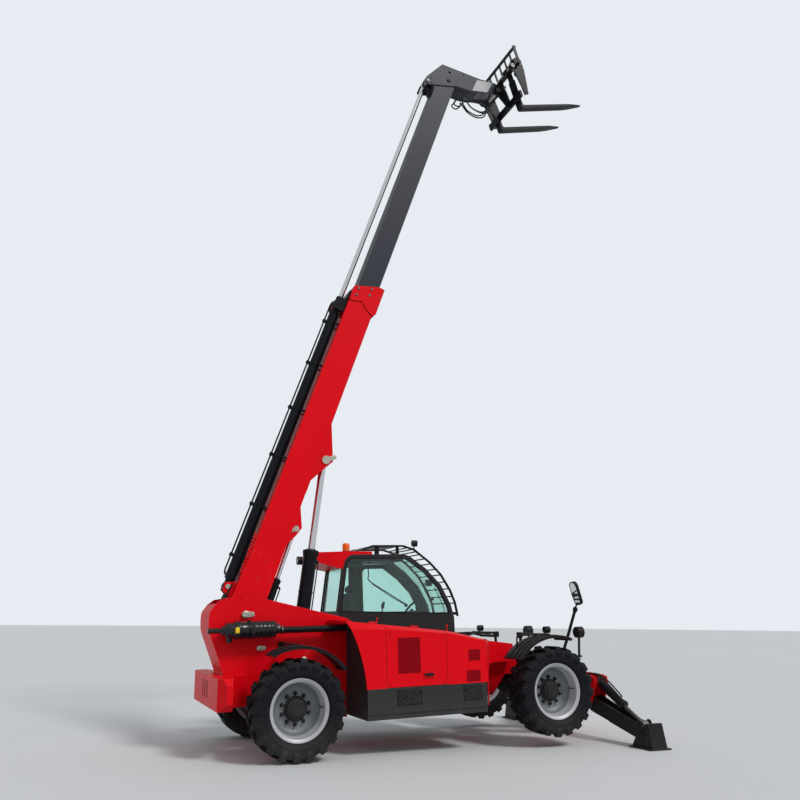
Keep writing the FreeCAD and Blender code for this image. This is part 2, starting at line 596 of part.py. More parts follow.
def boom_head():
    """Cranked head: two cheeks with their bosses, and the plates between them, each its own solid."""
    cheek = [(8700, 215), (8660, 318), (8806, 318), (9200, 150), (9353, -539), (9440, -754), (9448, -830),
             ((9395, -965), (9262, -955)), (9133, -641), (9025, -470), (8945, -190), (8935, -182)]
    parts = []
    for s in (-1, 1):
        parts.append(fuse([slab(cheek, s * HEAD_HALF, s * (HEAD_HALF + HEAD_T), boom_xz),
                           cross_rod(TILT_PIVOT, s * (HEAD_HALF - 22), s * (HEAD_HALF + 5), 60),
                           cross_rod(boom_xz(*TILT_BASE_UV), s * (TILT_R * 0.75 + SEAT), s * (HEAD_HALF + 5), 50)]))
    across = HEAD_HALF - SEAT
    crown = [slab([(8806, 318), (9200, 150), (9187, 141), (8800, 304)], -across, across, boom_xz),
             slab([(8690, INNER_TOP + SEAT), (8690, 139), (8797, 212), (8812, 203), (8716, INNER_TOP + SEAT)],
                  -across, across, boom_xz)]
    for s in (-1, 1):
        crown.append(slab([(8690, 195), (8690, 311), (8815, 306), (8880, 280), (8860, 195)],
                          s * 24.0, s * 40.0, boom_xz))
    parts.append(fuse(crown))
    parts.append(slab([(9200.1, 149.7), (9304, -320), (9290, -323), (9187.1, 140.7)], -across, across, boom_xz))
    parts.append(slab([(8950, -186), (9030, -462), (9112, -592), (9124, -584), (9043, -455), (8964, -184)],
                      -across, across, boom_xz))
    bores = ((TILT_PIVOT, TILT_PIVOT_R + CLEAR), (boom_xz(*TILT_BASE_UV), TILT_PIN_R + CLEAR),
             (boom_xz(EXT_EYE_U, EXT_V), EXT_EYE_PIN_R + CLEAR), (boom_xz(*LASHING_UV), LASHING_R))
    for xz, r in bores:
        parts = [shape.cut(cross_rod(xz, -HEAD_HALF - 40, HEAD_HALF + 40, r)) for shape in parts]
    return parts


def head_pins():
    """Pins at the boom's head: carriage pivot, tilt cylinder foot and the extension rod's eye."""
    return [cross_rod(TILT_PIVOT, -HEAD_HALF - HEAD_T - 50, HEAD_HALF + HEAD_T + 50, TILT_PIVOT_R),
            cross_rod(boom_xz(*TILT_BASE_UV), -HEAD_HALF - HEAD_T - 8, HEAD_HALF + HEAD_T + 8, TILT_PIN_R),
            cross_rod(boom_xz(EXT_EYE_U, EXT_V), -HEAD_HALF - HEAD_T - 8, HEAD_HALF + HEAD_T + 8, EXT_EYE_PIN_R)]


def boom_vec(y=0.0):
    """Places a (u, v) point as a vector at the given Y."""
    def to_vec(p):
        x, z = boom_xz(*p)
        return Vector(x, y, z)
    return to_vec


def xz_vec(p):
    return Vector(p[0], 0, p[1])


def extension_cylinder():
    """Ram on top of the boom: barrel on the outer boom, rod carried by the head."""
    foot = (EXT_BASE_U, EXT_V)
    return ram_parts(foot, (EXT_EYE_U, EXT_V), EXT_MOUTH_U - EXT_BASE_U, EXT_R, EXT_ROD_R, EXT_R * 0.75,
                     (EXT_PIN_R, EXT_EYE_PIN_R), STROKE, boom_vec(), Vector(0, 1, 0))[0]


def extension_rod():
    """Rod of the boom ram, its eye flattened to sit between the head's lugs."""
    to_vec = boom_vec()
    inner = EXT_MOUTH_U - EXT_BASE_U - EXT_PIN_R - 1.6 * EXT_R - STROKE - 10
    start, eye = to_vec((EXT_MOUTH_U - inner, EXT_V)), to_vec((EXT_EYE_U, EXT_V))
    d = (eye - start).normalize()
    half = EXT_EYE_HALF
    stem = rod(start, eye - d * 20, EXT_ROD_R).fuse(cross_rod((eye.x, eye.z), -half, half, 44))
    for s in (-1, 1):
        stem = stem.cut(cross_rod((eye.x, eye.z), s * half, s * 90, 60))
    return stem.cut(cross_rod((eye.x, eye.z), -60, 60, EXT_EYE_PIN_R + CLEAR))


def carriage():
    """Fork carriage: side plates, cross bars, coupler cheeks and the barred backrest."""
    side = [(280, 388), (360, 392), (381, 330), (381, 149), (312, -292), (237, -301), (226, -141), (196, 31),
            (177, 140), ((110, 170), (92, 226)), (178, 334)]
    parts = [pair(side, CARRIAGE_HALF, 25, fork_xz)]
    low = [(145, -330), (185, -330), (185, -220), (145, -220)]
    parts.append(slab(low, -CARRIAGE_HALF, CARRIAGE_HALF, fork_xz))
    eye_gap = HEAD_HALF + HEAD_T + 8
    upper = slab([(110, 165), (150, 165), (150, 190), (110, 190)], -CARRIAGE_HALF, CARRIAGE_HALF, fork_xz)
    parts.append(upper.cut(slab([(100, 150), (160, 150), (160, 200), (100, 200)], -eye_gap, eye_gap, fork_xz)))
    cheek = [(-60, -40), ((-70, 0), (-30, 62)), (100, 190), (150, 190), (185, -220), (185, -330), (90, -330)]
    parts.append(pair(cheek, eye_gap + 22, 22, fork_xz))
    lug = [(104, 112), (104, 190), (188, 190), (188, 52), (150, 52)]
    for s in (-1, 1):
        parts.append(slab(lug, s * (TILT_R * 0.75 + 6), s * (TILT_R * 0.75 + 26), fork_xz))
    parts.append(slab([(153, 52), (187, 52), (187, 82), (153, 82)], -eye_gap - 22, eye_gap + 22, fork_xz))
    bar = 18.0
    top, foot = 560.0, 240.0
    b0, b1 = 262.0, 262.0 + 2 * bar
    parts.append(slab([(b0, top - 2 * bar), (b1, top - 2 * bar), (b1, top), (b0, top)],
                      -BACKREST_HALF, BACKREST_HALF, fork_xz))
    parts.append(slab([(b0, foot), (b1, foot), (b1, foot + 2 * bar), (b0, foot + 2 * bar)],
                      -BACKREST_HALF, BACKREST_HALF, fork_xz))
    rungs = 8
    for k in range(rungs):
        y = -BACKREST_HALF + bar + (2 * BACKREST_HALF - 2 * bar) * k / (rungs - 1)
        parts.append(slab([(b0 + 4, foot + bar), (b1 - 4, foot + bar), (b1 - 4, top - bar), (b0 + 4, top - bar)],
                          y - bar * 0.6, y + bar * 0.6, fork_xz))
    shape = fuse(parts)
    room = TILT_R * 0.75 + 6
    shape = shape.cut(slab([(0, 20), (230, 20), (230, 196), (0, 196)], -room, room, fork_xz))
    shape = shape.cut(cross_rod(TILT_PIVOT, -400, 400, TILT_PIVOT_R + CLEAR))
    shape = shape.cut(cross_rod(fork_xz(*SHAFT_FN), -900, 900, SHAFT_R + CLEAR))
    return shape.cut(cross_rod(fork_xz(*TILT_EYE_FN), -100, 100, TILT_EYE_PIN_R + CLEAR))


def fork_shaft():
    """The shaft that the forks hang on, one half each side of the tilt cylinder, and the tilt rod's pin ends."""
    shaft = [cross_rod(fork_xz(*SHAFT_FN), s * SHAFT_GAP, s * (CARRIAGE_HALF + 18), SHAFT_R) for s in (-1, 1)]
    eye = TILT_R * 0.75
    return shaft + stub_pair(fork_xz(*TILT_EYE_FN), eye + 5, eye + 26 + SEAT, TILT_EYE_PIN_R, 8).Solids


def forks():
    """Two L-shaped forks hooked on the shaft."""
    tip = FORK_BACK + FORK_T + FORK_LENGTH
    blade = [(FORK_BACK, 60), (FORK_BACK, FORK_SOLE + 30), ((FORK_BACK + 9, FORK_SOLE + 9), (FORK_BACK + 30, FORK_SOLE)),
             (tip - 400, FORK_SOLE), (tip, FORK_SOLE + 26), (tip, FORK_SOLE + 36), (tip - 420, FORK_SOLE + FORK_T),
             (FORK_BACK + FORK_T + 40, FORK_SOLE + FORK_T + 6),
             ((FORK_BACK + FORK_T + 12, FORK_SOLE + FORK_T + 14), (FORK_BACK + FORK_T, FORK_SOLE + FORK_T + 44)),
             (FORK_BACK + FORK_T, 60)]
    parts = []
    cx, cn = SHAFT_FN
    for s in (-1, 1):
        y0, y1 = s * FORK_Y - FORK_W / 2, s * FORK_Y + FORK_W / 2
        body = slab(blade, y0, y1, fork_xz)
        hook = slab([(FORK_BACK, 50), (FORK_BACK + FORK_T, 50), (FORK_BACK + FORK_T, cn + 20),
                     ((cx + 30, cn + SHAFT_R + 34), (cx - SHAFT_R - 20, cn + 10)), (cx - SHAFT_R - 20, cn - 20),
                     (FORK_BACK, cn - 30)], y0 + 20, y1 - 20, fork_xz)
        body = body.fuse(hook).cut(cross_rod(fork_xz(*SHAFT_FN), y0 - 5, y1 + 5, SHAFT_R + SEAT))
        taper = []
        for k in (-1, 1):
            edge = s * FORK_Y + k * FORK_W / 2
            wedge = Part.Face(Part.makePolygon([Vector(*p) for p in (
                (fork_xz(tip - 260, 0)[0], edge, fork_xz(tip - 260, 0)[1]),
                (fork_xz(tip + 10, 0)[0], edge - k * 38, fork_xz(tip + 10, 0)[1]),
                (fork_xz(tip + 10, 0)[0], edge + k * 10, fork_xz(tip + 10, 0)[1]),
                (fork_xz(tip - 260, 0)[0], edge + k * 10, fork_xz(tip - 260, 0)[1]),
                (fork_xz(tip - 260, 0)[0], edge, fork_xz(tip - 260, 0)[1]))]))
            dx, dz = fork_xz(0, -600)[0] - TILT_PIVOT[0], fork_xz(0, -600)[1] - TILT_PIVOT[1]
            taper.append(wedge.extrude(Vector(dx, 0, dz)))
        for wedge in taper:
            body = body.cut(wedge)
        parts.append(body)
    return parts


# Engine side

def hood_shell(x0, x1, inset=0.0):
    """Solid under the hood line between two stations, all its faces moved in by inset."""
    wires = []
    for x in (x0, x1):
        shoulder, ridge = hood_line(x)
        y = -SIDE_Y + inset
        points = [(y, SKIRT_TOP - 200), (y, shoulder - inset * 0.5), (-SIDE_Y + 80 + inset * 0.4, ridge - inset),
                  (-COVER_IN, ridge + 18 - inset), (-COVER_IN, SKIRT_TOP - 200)]
        wires.append(outline(points, lambda a, b, xx=x: Vector(xx, a, b)))
    return Part.makeLoft(wires, True, True)


def hood_line(x):
    """Heights of the shoulder and of the ridge of the engine cover at station x."""
    table = ((500.0, 1368.0, 1455.0), (1200.0, 1335.0, 1375.0), (1876.0, 1268.0, 1298.0),
             (2360.0, 1168.0, 1187.0), (3200.0, 1060.0, 1075.0))
    for (xa, sa, ra), (xb, sb, rb) in zip(table, table[1:]):
        if x <= xb:
            k = (x - xa) / (xb - xa)
            return sa + k * (sb - sa), ra + k * (rb - ra)
    return table[-1][1:]


def cover(stations, bottom, inset):
    """Cover through several stations, cut off level at the bottom."""
    parts = [hood_shell(a, b, inset) for a, b in zip(stations, stations[1:])]
    body = fuse(parts)
    keep = box(stations[0], stations[-1], -2000, 0, bottom, 3000)
    return body.common(keep)


def vent(x0, x1, z0, z1, rows):
    """Horizontal slots of a louvred panel in the side face."""
    pitch = (z1 - z0) / rows
    return [box(x0, x1, -SIDE_Y - 5, -SIDE_Y + 10, z0 + k * pitch, z0 + (k + 0.5) * pitch) for k in range(rows)]


def hood_axis(x):
    """A point of the hood's hinge line, which runs down with the cover's ridge."""
    return Vector(x, HOOD_HINGE_Y, hood_line(x)[1] + 18 + HOOD_HINGE_UP)


def knuckle_row(spans, y0, y1):
    """Hinge knuckles over the stated spans, each with its leaf from y0 to y1."""
    parts = []
    for x0, x1 in spans:
        a, b = hood_axis(x0), hood_axis(x1)
        parts.append(rod(a, b, 10))
        leaf = [(x0 + 2, a.z - HOOD_HINGE_UP - 7), (x1 - 2, a.z - HOOD_HINGE_UP - 7), (x1 - 2, b.z - 1),
                (x0 + 2, b.z - 1)]
        parts.append(slab(leaf, y0, y1))
    return parts


def hood():
    """Lifting middle panel of the engine cover, with its louvres and latch."""
    x0, x1 = HOOD_X
    stations = (x0, 1200.0, x1)
    body = cover(stations, SKIRT_TOP + SEAM, 0.0).cut(cover((x0 - 1, 1200.0, x1 + 1), SKIRT_TOP - 100, PANEL_T))
    body = body.cut(box(0, 4000, HOOD_HINGE_Y - 2, 0, 0, 3000))
    for slot in vent(1197, 1470, 850, 1235, 14):
        body = body.cut(slot)
    latch = box(1517, 1645, -SIDE_Y - 14, -SIDE_Y + 4, 785, 848)
    return fuse([body, latch] + knuckle_row(((1130, 1170), (1700, 1740)), HOOD_HINGE_Y - 34, HOOD_HINGE_Y - 5))


def engine_cowl():
    """Fixed red panels behind and ahead of the hood, down to the skirt."""

    def nose(inset):
        plan = [(fold, -SIDE_Y + inset), (fold + 340 - inset, -545 + inset * 0.6), (3100 - inset, -465 + inset),
                (3100 - inset, -COVER_IN), (fold, -COVER_IN)]
        top = [(fold, 1187 - inset), (3110, 1085 - inset), (3110, 872), (2760, 868), (2520, 820), (2420, 420),
               (fold, 420)]
        return plan_slab(plan, 300, 1600).common(slab(top, -2000, 0))

    rear_edge = [(480, 1500), (480, 300), (806, 300), (806, 672), ((742, 1040), (612, 1370)), (560, 1500)]
    stations = (540.0, HOOD_X[0] - SEAM)
    rear = cover(stations, SKIRT_TOP, 0.0).cut(cover((480.0, HOOD_X[0] + 5), SKIRT_TOP - 100, PANEL_T))
    rear = rear.cut(slab(rear_edge, -2000, 0))
    x1 = HOOD_X[1] + SEAM
    fold = 2360.0
    front = cover((x1, 1876.0, fold), SKIRT_TOP, 0.0).cut(cover((x1 - 5, 1876.0, fold), SKIRT_TOP - 100, PANEL_T))
    tip = nose(0.0).cut(nose(PANEL_T))
    front = front.fuse(tip)
    for x0, xb, z0, z1 in ((2120, 2262, 952, 1068), (2085, 2258, 715, 830)):
        for slot in vent(x0, xb, z0, z1, 5):
            front = front.cut(slot)
    a, b = HOOD_X[0] - SEAM - 4, HOOD_X[1] + SEAM + 4
    top_a, top_b = hood_line(a)[1] + 18, hood_line(b)[1] + 18
    strip = slab([(a, top_a), (b, top_b), (b, top_b - 24), (a, top_a - 24)], HOOD_HINGE_Y + 5, HOOD_HINGE_Y + 26)
    row = knuckle_row(((1094, 1129.5), (1170.5, 1206), (1664, 1699.5), (1740.5, 1776)), HOOD_HINGE_Y + 6,
                      HOOD_HINGE_Y + 22)
    return fuse([rear, front, strip] + row)


def skirt():
    """Charcoal lower skirt with its louvres and the bay floor behind it."""
    x0, x1 = 812.0, 2345.0
    face = box(x0, x1, -SIDE_Y + 2, -SIDE_Y + 6 + PANEL_T, SKIRT_BOTTOM + 62, SKIRT_TOP - SEAT)
    lower = box(x0, x1, -SIDE_Y + 14, -SIDE_Y + 14 + PANEL_T, SKIRT_BOTTOM, SKIRT_BOTTOM + 70)
    floor = box(x0, x1, -SIDE_Y + 14, -FRAME_OUT - SEAT, SKIRT_BOTTOM + 60, SKIRT_BOTTOM + 72)
    wall = cover((x0 - 4, x0 + 16), 560, PANEL_T + 1).common(box(x0, x0 + 16, -2000, 0, 0, 3000))
    rear = box(x0, x0 + 16, -SIDE_Y + 14, -FRAME_OUT - SEAT, SKIRT_BOTTOM, 600).fuse(wall)
    ahead = box(x1 - 16, x1, -SIDE_Y + PANEL_T + 4, -FRAME_OUT - SEAT, SKIRT_BOTTOM, 1120)
    body = fuse([face, lower, floor, rear, ahead])
    for xa, xb in ((1185, 1475), (2040, 2265)):
        for slot in vent(xa, xb, 508, 655, 6):
            body = body.cut(slot)
    return body


def engine():
    """The engine and its radiator as one plain block at their place."""
    return box(1000, 2150, -960, -FRAME_OUT - SEAT, SKIRT_BOTTOM + 72 + SEAT, 1120)


def air_cleaner():
    """Air cleaner canister with its cap, inlet, dust valve and hose to the engine bay."""
    y, z = -FRAME_OUT - 135, 1375.0
    def along(x0, x1, r, yy=y, zz=z):
        return rod(Vector(x0, yy, zz), Vector(x1, yy, zz), r)
    body = [along(-520, -110, 96), along(-600, -520, 102), along(-700, -600, 84), along(-740, -700, 54),
            along(-905, -740, 30), rod(Vector(-655, y, z - 50), Vector(-655, y, z - 140), 36),
            along(-110, -60, 52), along(-60, 800, 40, y, z - 14)]
    body.append(box(-460, -400, y, -FRAME_OUT - SEAT, z - 50, z + 50))
    return fuse(body)


# Cab

CAB_LINE = [(870, FLOOR_Z), (914, 1526), (996, 2130), (1024, 2226), (1075, 2282), (1150, 2302), (1840, 2310),
            (1935, 2298), (2010, 2262), (2225, 2110), (2450, 1885), (2595, 1607), (2640, 1436), (2640.5, FLOOR_Z)]
SIDE_WINDOW = [(972, 1562), (1046, 2110), (1060, 2180), (1100, 2228), (1165, 2245), (1835, 2252), (1915, 2240),
               (1980, 2205), (2185, 2065), (2400, 1850), (2535, 1595), (2560, 1500)]
QUARTER = [(985, 1560), (1050, 2110), (1070, 2172), (1110, 2204), (1160, 2210), (1340, 2212), (1341, 1561)]
REAR_WINDOW = [(355.0, 1560.0), (1080.0, 2130.0)]
DOOR_WAY = [(1430, 880), (1430.5, 2170), (1440, 2200), (1470, 2218), (1890, 2222), (1960, 2190), (2160, 2030),
            (2370, 1820), (2490, 1590), (2520, 1436), (2520.5, 880.5)]
DOOR_WINDOW = [(1560, 1540), (1547, 2080), (1560, 2126), (1605, 2148), (1880, 2152), (2110, 1985), (2300, 1790),
               (2400, 1600), (2420, 1530)]
FRONT_CUT = [(1930, 2240), (1990, 2400), (2400, 2300), (2800, 1700), (2801, 1050), (2560, 1051), (2561, 1450),
             (2500, 1640), (2380, 1850), (2180, 2060)]


def shrink(points, d):
    """Straight-edged outline moved inwards by d on all sides; outwards if d is negative."""
    closed = list(zip(points, points[1:] + points[:1]))
    turn = 1 if sum(a[0] * b[1] - b[0] * a[1] for a, b in closed) > 0 else -1
    lines = []
    for (x0, z0), (x1, z1) in closed:
        size = turn * math.hypot(x1 - x0, z1 - z0)
        nx, nz = (z0 - z1) / size, (x1 - x0) / size
        lines.append((nx, nz, nx * x0 + nz * z0 + d))
    moved = []
    for (a, b, c), (e, f, g) in zip(lines[-1:] + lines[:-1], lines):
        det = a * f - b * e
        moved.append(((c * f - b * g) / det, (a * g - c * e) / det))
    return moved


def inset_slab(points, inset, y0, y1):
    return slab(shrink(points, inset), y0, y1)


def cab_shell():
    """Cab: walls, posts, floor and roof, hollow, with its door way and windows cut."""
    inside = (CAB_IN + CAB_WALL, CAB_OUT - CAB_WALL)
    body = slab(CAB_LINE, CAB_IN, CAB_OUT).cut(inset_slab(CAB_LINE, CAB_WALL, *inside))
    body = body.cut(slab(SIDE_WINDOW, CAB_IN - 1, CAB_IN + CAB_WALL + 1))
    for way in (DOOR_WAY, QUARTER):
        body = body.cut(slab(way, CAB_OUT - CAB_WALL - 1, CAB_OUT + 1))
    body = body.cut(slab(FRONT_CUT, *inside))
    (y0, z0), (y1, z1) = REAR_WINDOW
    body = body.cut(box(800, 1120, y0 + 18, y1 - 18, z0, z1))
    for z in (1100, 2000):
        for z0 in (z - 90, z + 50.5):
            body = body.fuse(rod(Vector(HINGE_X, HINGE_Y, z0), Vector(HINGE_X, HINGE_Y, z0 + 39.5), 14))
            body = body.fuse(box(1395, 1428, CAB_OUT - 2, CAB_OUT + 14, z0, z0 + 39.5))
            body = body.fuse(box(1427, HINGE_X, CAB_OUT + 1, CAB_OUT + 14, z0, z0 + 39.5))
    return body


def cab_roof():
    """Red roof panel with its overhang behind the cab."""
    line = [(620, 2228), (655, 2194), (900, 2130), (1000, 2110), (1060, 2200), (1420, 2290), (1420, 2345),
            (1040, 2345), (655, 2332), (624, 2304)]
    return slab(line, CAB_IN + 6, CAB_OUT - 6).cut(inset_slab(CAB_LINE, -SEAT, CAB_IN - 5, CAB_OUT + 5))


def pane(points, y0):
    """A flat pane that fills its opening with a small gap."""
    return inset_slab(points, GLASS_GAP, y0, y0 + GLASS_T)


def cab_glass():
    """Right, rear and left quarter panes, and the bent front pane."""
    g = GLASS_GAP
    right = pane(SIDE_WINDOW, CAB_IN + 16)
    left = pane(QUARTER, CAB_OUT - 26)
    strip = inset_slab(CAB_LINE, 14, CAB_IN + CAB_WALL + g, CAB_OUT - CAB_WALL - g)
    strip = strip.cut(inset_slab(CAB_LINE, 14 + GLASS_T, CAB_IN, CAB_OUT))
    bent = strip.common(inset_slab(FRONT_CUT, g, CAB_IN, CAB_OUT))
    (y0, z0), (y1, z1) = REAR_WINDOW
    back = strip.common(box(800, 1120, y0 + 18 + g, y1 - 18 - g, z0 + g, z1 - g))
    return [right, left] + bent.Solids + back.Solids


def cab_door():
    """Left door with its window frame and handle, hung on the rear post."""
    y0, y1 = CAB_OUT - CAB_WALL + 4, CAB_OUT
    body = inset_slab(DOOR_WAY, SEAM, y0, y1).cut(slab(DOOR_WINDOW, y0 - 1, y1 + 1))
    for z in (1100, 2000):
        body = body.fuse(rod(Vector(HINGE_X, HINGE_Y, z - 50), Vector(HINGE_X, HINGE_Y, z + 50), 14))
        body = body.fuse(box(HINGE_X, HINGE_X + 55, CAB_OUT - 2, CAB_OUT + 14, z - 50, z + 50))
    return body.fuse(box(2330, 2440, CAB_OUT - 2, CAB_OUT + 22, 1400, 1430))


def door_glass():
    return pane(DOOR_WINDOW, CAB_OUT - 26)


def roof_guard():
    """Ladder-like guard over the roof and the front pane: two rails, and a deck and rungs between them."""
    outer = [(1250, 2366), (1424, 2432), (1889, 2436), (2060, 2385), (2297, 2208), (2470, 2035), (2610, 1812),
             (2680, 1640), (2715, 1454)]
    band = outer + [(2689, 1450), (2655, 1632), (2586, 1800), (2450, 2018), (2280, 2190), (2050, 2360),
                    (1885, 2410), (1430, 2406), (1262, 2348)]
    sides = ((CAB_IN + 4, CAB_IN + 30), (CAB_OUT - 30, CAB_OUT - 4))
    near, far = sides[0][1] + SEAT, sides[1][0] - SEAT
    parts = []
    for side in sides:
        rail = [slab(band, *side), box(2641 + SEAT, 2700, side[0], side[1], 1470, 1500)]
        for x, z0, z1 in ((1480, 2306 + SEAT, 2410), (1800, 2310 + SEAT, 2415)):
            rail.append(box(x - 20, x + 20, side[0], side[1], z0, z1))
        parts.append(fuse(rail))
    parts.append(slab([(1290, 2374), (1428, 2427), (1887, 2431), (1886, 2424), (1430, 2420), (1294, 2367)],
                      near, far))
    rungs = [(1965, 2400), (2030, 2376), (2095, 2345), (2150, 2306), (2230, 2247), (2315, 2176), (2390, 2101),
             (2462, 2022), (2522, 1925), (2582, 1829), (2632, 1722), (2668, 1630), (2695, 1500)]
    for xz in rungs:
        parts.append(cross_rod(xz, near, far, 9))
    return parts


def beacon():
    """Amber beacon on its black foot."""
    x, y, z = 1120.0, 560.0, 2345.0 + SEAT
    foot = rod(Vector(x, y, z), Vector(x, y, z + 16), 62)
    lens = rod(Vector(x, y, z + 16), Vector(x, y, z + 120), 50).fuse(rod(Vector(x, y, z + 120), Vector(x, y, z + 128), 38))
    return foot.fuse(lens)


def seat():
    """Driver's seat on its pedestal."""
    y0, y1 = 480.0, 940.0
    base = box(1260, 1620, y0 + 60, y1 - 60, FLOOR_Z + CAB_WALL + SEAT, 1225)
    cushion = slab([(1230, 1190), (1720, 1215), ((1760, 1260), (1715, 1310)), (1240, 1290)], y0, y1)
    back = slab([(1232, 1270), (1340, 1270), (1276, 1600), ((1232, 1628), (1178, 1592))], y0 + 20, y1 - 20)
    head = slab([(1190, 1640), (1264, 1640), (1248, 1726), ((1215, 1742), (1176, 1720))], y0 + 120, y1 - 120)
    neck = slab([(1208, 1590), (1236, 1590), (1232, 1660), (1206, 1660)], y0 + 200, y1 - 200)
    arm = [box(1250, 1600, y0 - 60, y0 - 5, 1430, 1480), box(1250, 1310, y0 - 40, y0 + 30, 1270, 1440)]
    return fuse([base, cushion, back, head, neck] + arm)


def console():
    """Dash, steering column and wheel."""
    inner_front = 2640.0 - CAB_WALL - SEAT
    dash = slab([(2330, FLOOR_Z + CAB_WALL + SEAT), (2300, 1280), (2380, 1420), (2520, 1440), (inner_front, 1380),
                 (inner_front, FLOOR_Z + CAB_WALL + SEAT)], 420, 1000)
    column = rod(Vector(2400, 710, 1330), Vector(2150, 710, 1520), 34)
    d = Vector(-250, 0, 190).normalize()
    hubp = Vector(2150, 710, 1520)
    ring = Part.makeTorus(185, 15, hubp + d * 12, d)
    side = Vector(0, 1, 0)
    up = d.cross(side).normalize()
    spokes = [rod(hubp + d * 4, hubp + d * 12 + v * 183, 11) for v in (side, side * -1, up)]
    boss = rod(hubp - d * 10, hubp + d * 22, 48)
    return fuse([dash, column, ring, boss] + spokes)


def tank():
    """Fuel tank and steps under the cab."""
    x0, x1 = 860.0, 2500.0
    body = box(x0, x1, FRAME_OUT + SEAT, SIDE_Y - 20, 395, FLOOR_Z - SEAT)
    steps = box(1560, 2420, SIDE_Y - 240, SIDE_Y, 395 - 1, 560)
    body = body.cut(steps).cut(box(1560, 2420, SIDE_Y - 130, SIDE_Y, 590, FLOOR_Z))
    return body.fuse(box(1580, 2400, SIDE_Y - 242, SIDE_Y - 30, 440, 462))


def lamps():
    """Driving and marker lamps on their stalks, one set each side, and the cab's two work lamps."""
    parts = []
    low, high = FRAME_OUT + SEAT, 650.0
    x = WHEELBASE + 690
    for s in (-1, 1):
        y0, y1 = sorted((s * low, s * high))
        p0, p1 = sorted((s * low, s * (low + 12)))
        foot = box(x, x + 70, y0, y1, 882, 905).fuse(box(x, x + 70, p0, p1, 610, 905))
        stalk = rod(Vector(x + 35, s * 630, 900), Vector(x + 50, s * 640, 1160), 16)
        ball = rod(Vector(x, s * 645, 1205), Vector(x + 88, s * 645, 1205), 72)
        parts.append(fuse([foot, stalk, ball]))
        guard_top = TYRE_R + math.sqrt((MUDGUARD_R + MUDGUARD_T) ** 2 - 40 ** 2)
        marker = rod(Vector(WHEELBASE + 50, s * 900, guard_top + SEAT), Vector(WHEELBASE + 50, s * 900, 1240), 10)
        lens = rod(Vector(WHEELBASE + 22, s * 900, 1262), Vector(WHEELBASE + 92, s * 900, 1262), 42)
        parts.append(marker.fuse(lens))
    x, z = 2095.0, 2468.0
    parts.append(rod(Vector(x, 420, 2354 + SEAT), Vector(x, 420, z), 9).fuse(
        rod(Vector(x - 25, 420, z), Vector(x + 35, 420, z), 44)))
    rear = rod(Vector(548, 1000, 2262), Vector(606, 1000, 2262), 58)
    parts.append(rear.fuse(rod(Vector(600, 1000, 2262), Vector(619, 1000, 2262), 22)))
    return parts


def mirrors():
    """Right-hand mirror: an oval head on a bent arm that stands on the frame."""
    x = WHEELBASE + 540
    arm = rod(Vector(x, -520, 925), Vector(x + 240, -545, 1500), 16)
    foot = box(x - 35, x + 35, -535, -FRAME_OUT - SEAT, 905, 935).fuse(
        box(x - 35, x + 35, -FRAME_OUT - 12, -FRAME_OUT - SEAT, 690, 935))
    clamp = rod(Vector(x + 228, -544, 1470), Vector(x + 246, -546, 1530), 28)
    link = rod(Vector(x + 240, -545, 1505), Vector(x + 232, -640, 1640), 12)
    tilt = rad(15.3)
    head = box(-18, 18, -720, -560, -160, 160)
    head = head.makeFillet(60, [e for e in head.Edges if abs(e.BoundBox.XLength) > 30])
    head.rotate(Vector(0, 0, 0), Vector(0, 1, 0), -math.degrees(tilt))
    head.translate(Vector(x + 208, 0, 1719))
    return [fuse([arm, foot, clamp, link, head])]


# Stabilisers

def yz_vec(p):
    return Vector(STAB_X, p[0], p[1])


def leg():
    """Right-hand stabiliser leg: a channel open on top, with the foot's clevis at its end."""
    (hy, hz), (fy, fz) = LEG_PIVOT, FOOT_PIN
    length = math.hypot(fy - hy, fz - hz)
    u = ((fy - hy) / length, (fz - hz) / length)
    n = (-u[1], u[0])
    if n[1] < 0:
        n = (-n[0], -n[1])
    def at(a, b):
        return (hy + a * u[0] + b * n[0], hz + a * u[1] + b * n[1])
    cheek = [at(-60, -60), at(60, -95), at(length - 40, -80), (at(length + 62, -6), at(length - 8, 60)),
             at(length - 48, 92), (at(length - 94, 134), at(length - 142, 96)), at(length - 210, 84),
             at(330, 90), at(120, 104), (at(20, 96), at(-62, 45))]
    x0, x1 = STAB_X - LEG_HALF, STAB_X + LEG_HALF
    parts = [cross_slab(cheek, x0, x0 + 16), cross_slab(cheek, x1 - 16, x1)]
    sole = [at(430, -80), at(430, -96), at(length - 130, -90), at(length - 130, -74)]
    parts.append(cross_slab(sole, x0, x1))
    tube = rod(Vector(x0, hy, hz), Vector(x1, hy, hz), STAB_PIN_R + 20)
    parts.append(tube)
    body = fuse(parts)
    for (y, z), r in ((LEG_PIVOT, STAB_PIN_R), (FOOT_PIN, STAB_PIN_R), (RAM_EYE, RAM_EYE_PIN_R)):
        body = body.cut(rod(Vector(x0 - 5, y, z), Vector(x1 + 5, y, z), r + CLEAR))
    return body


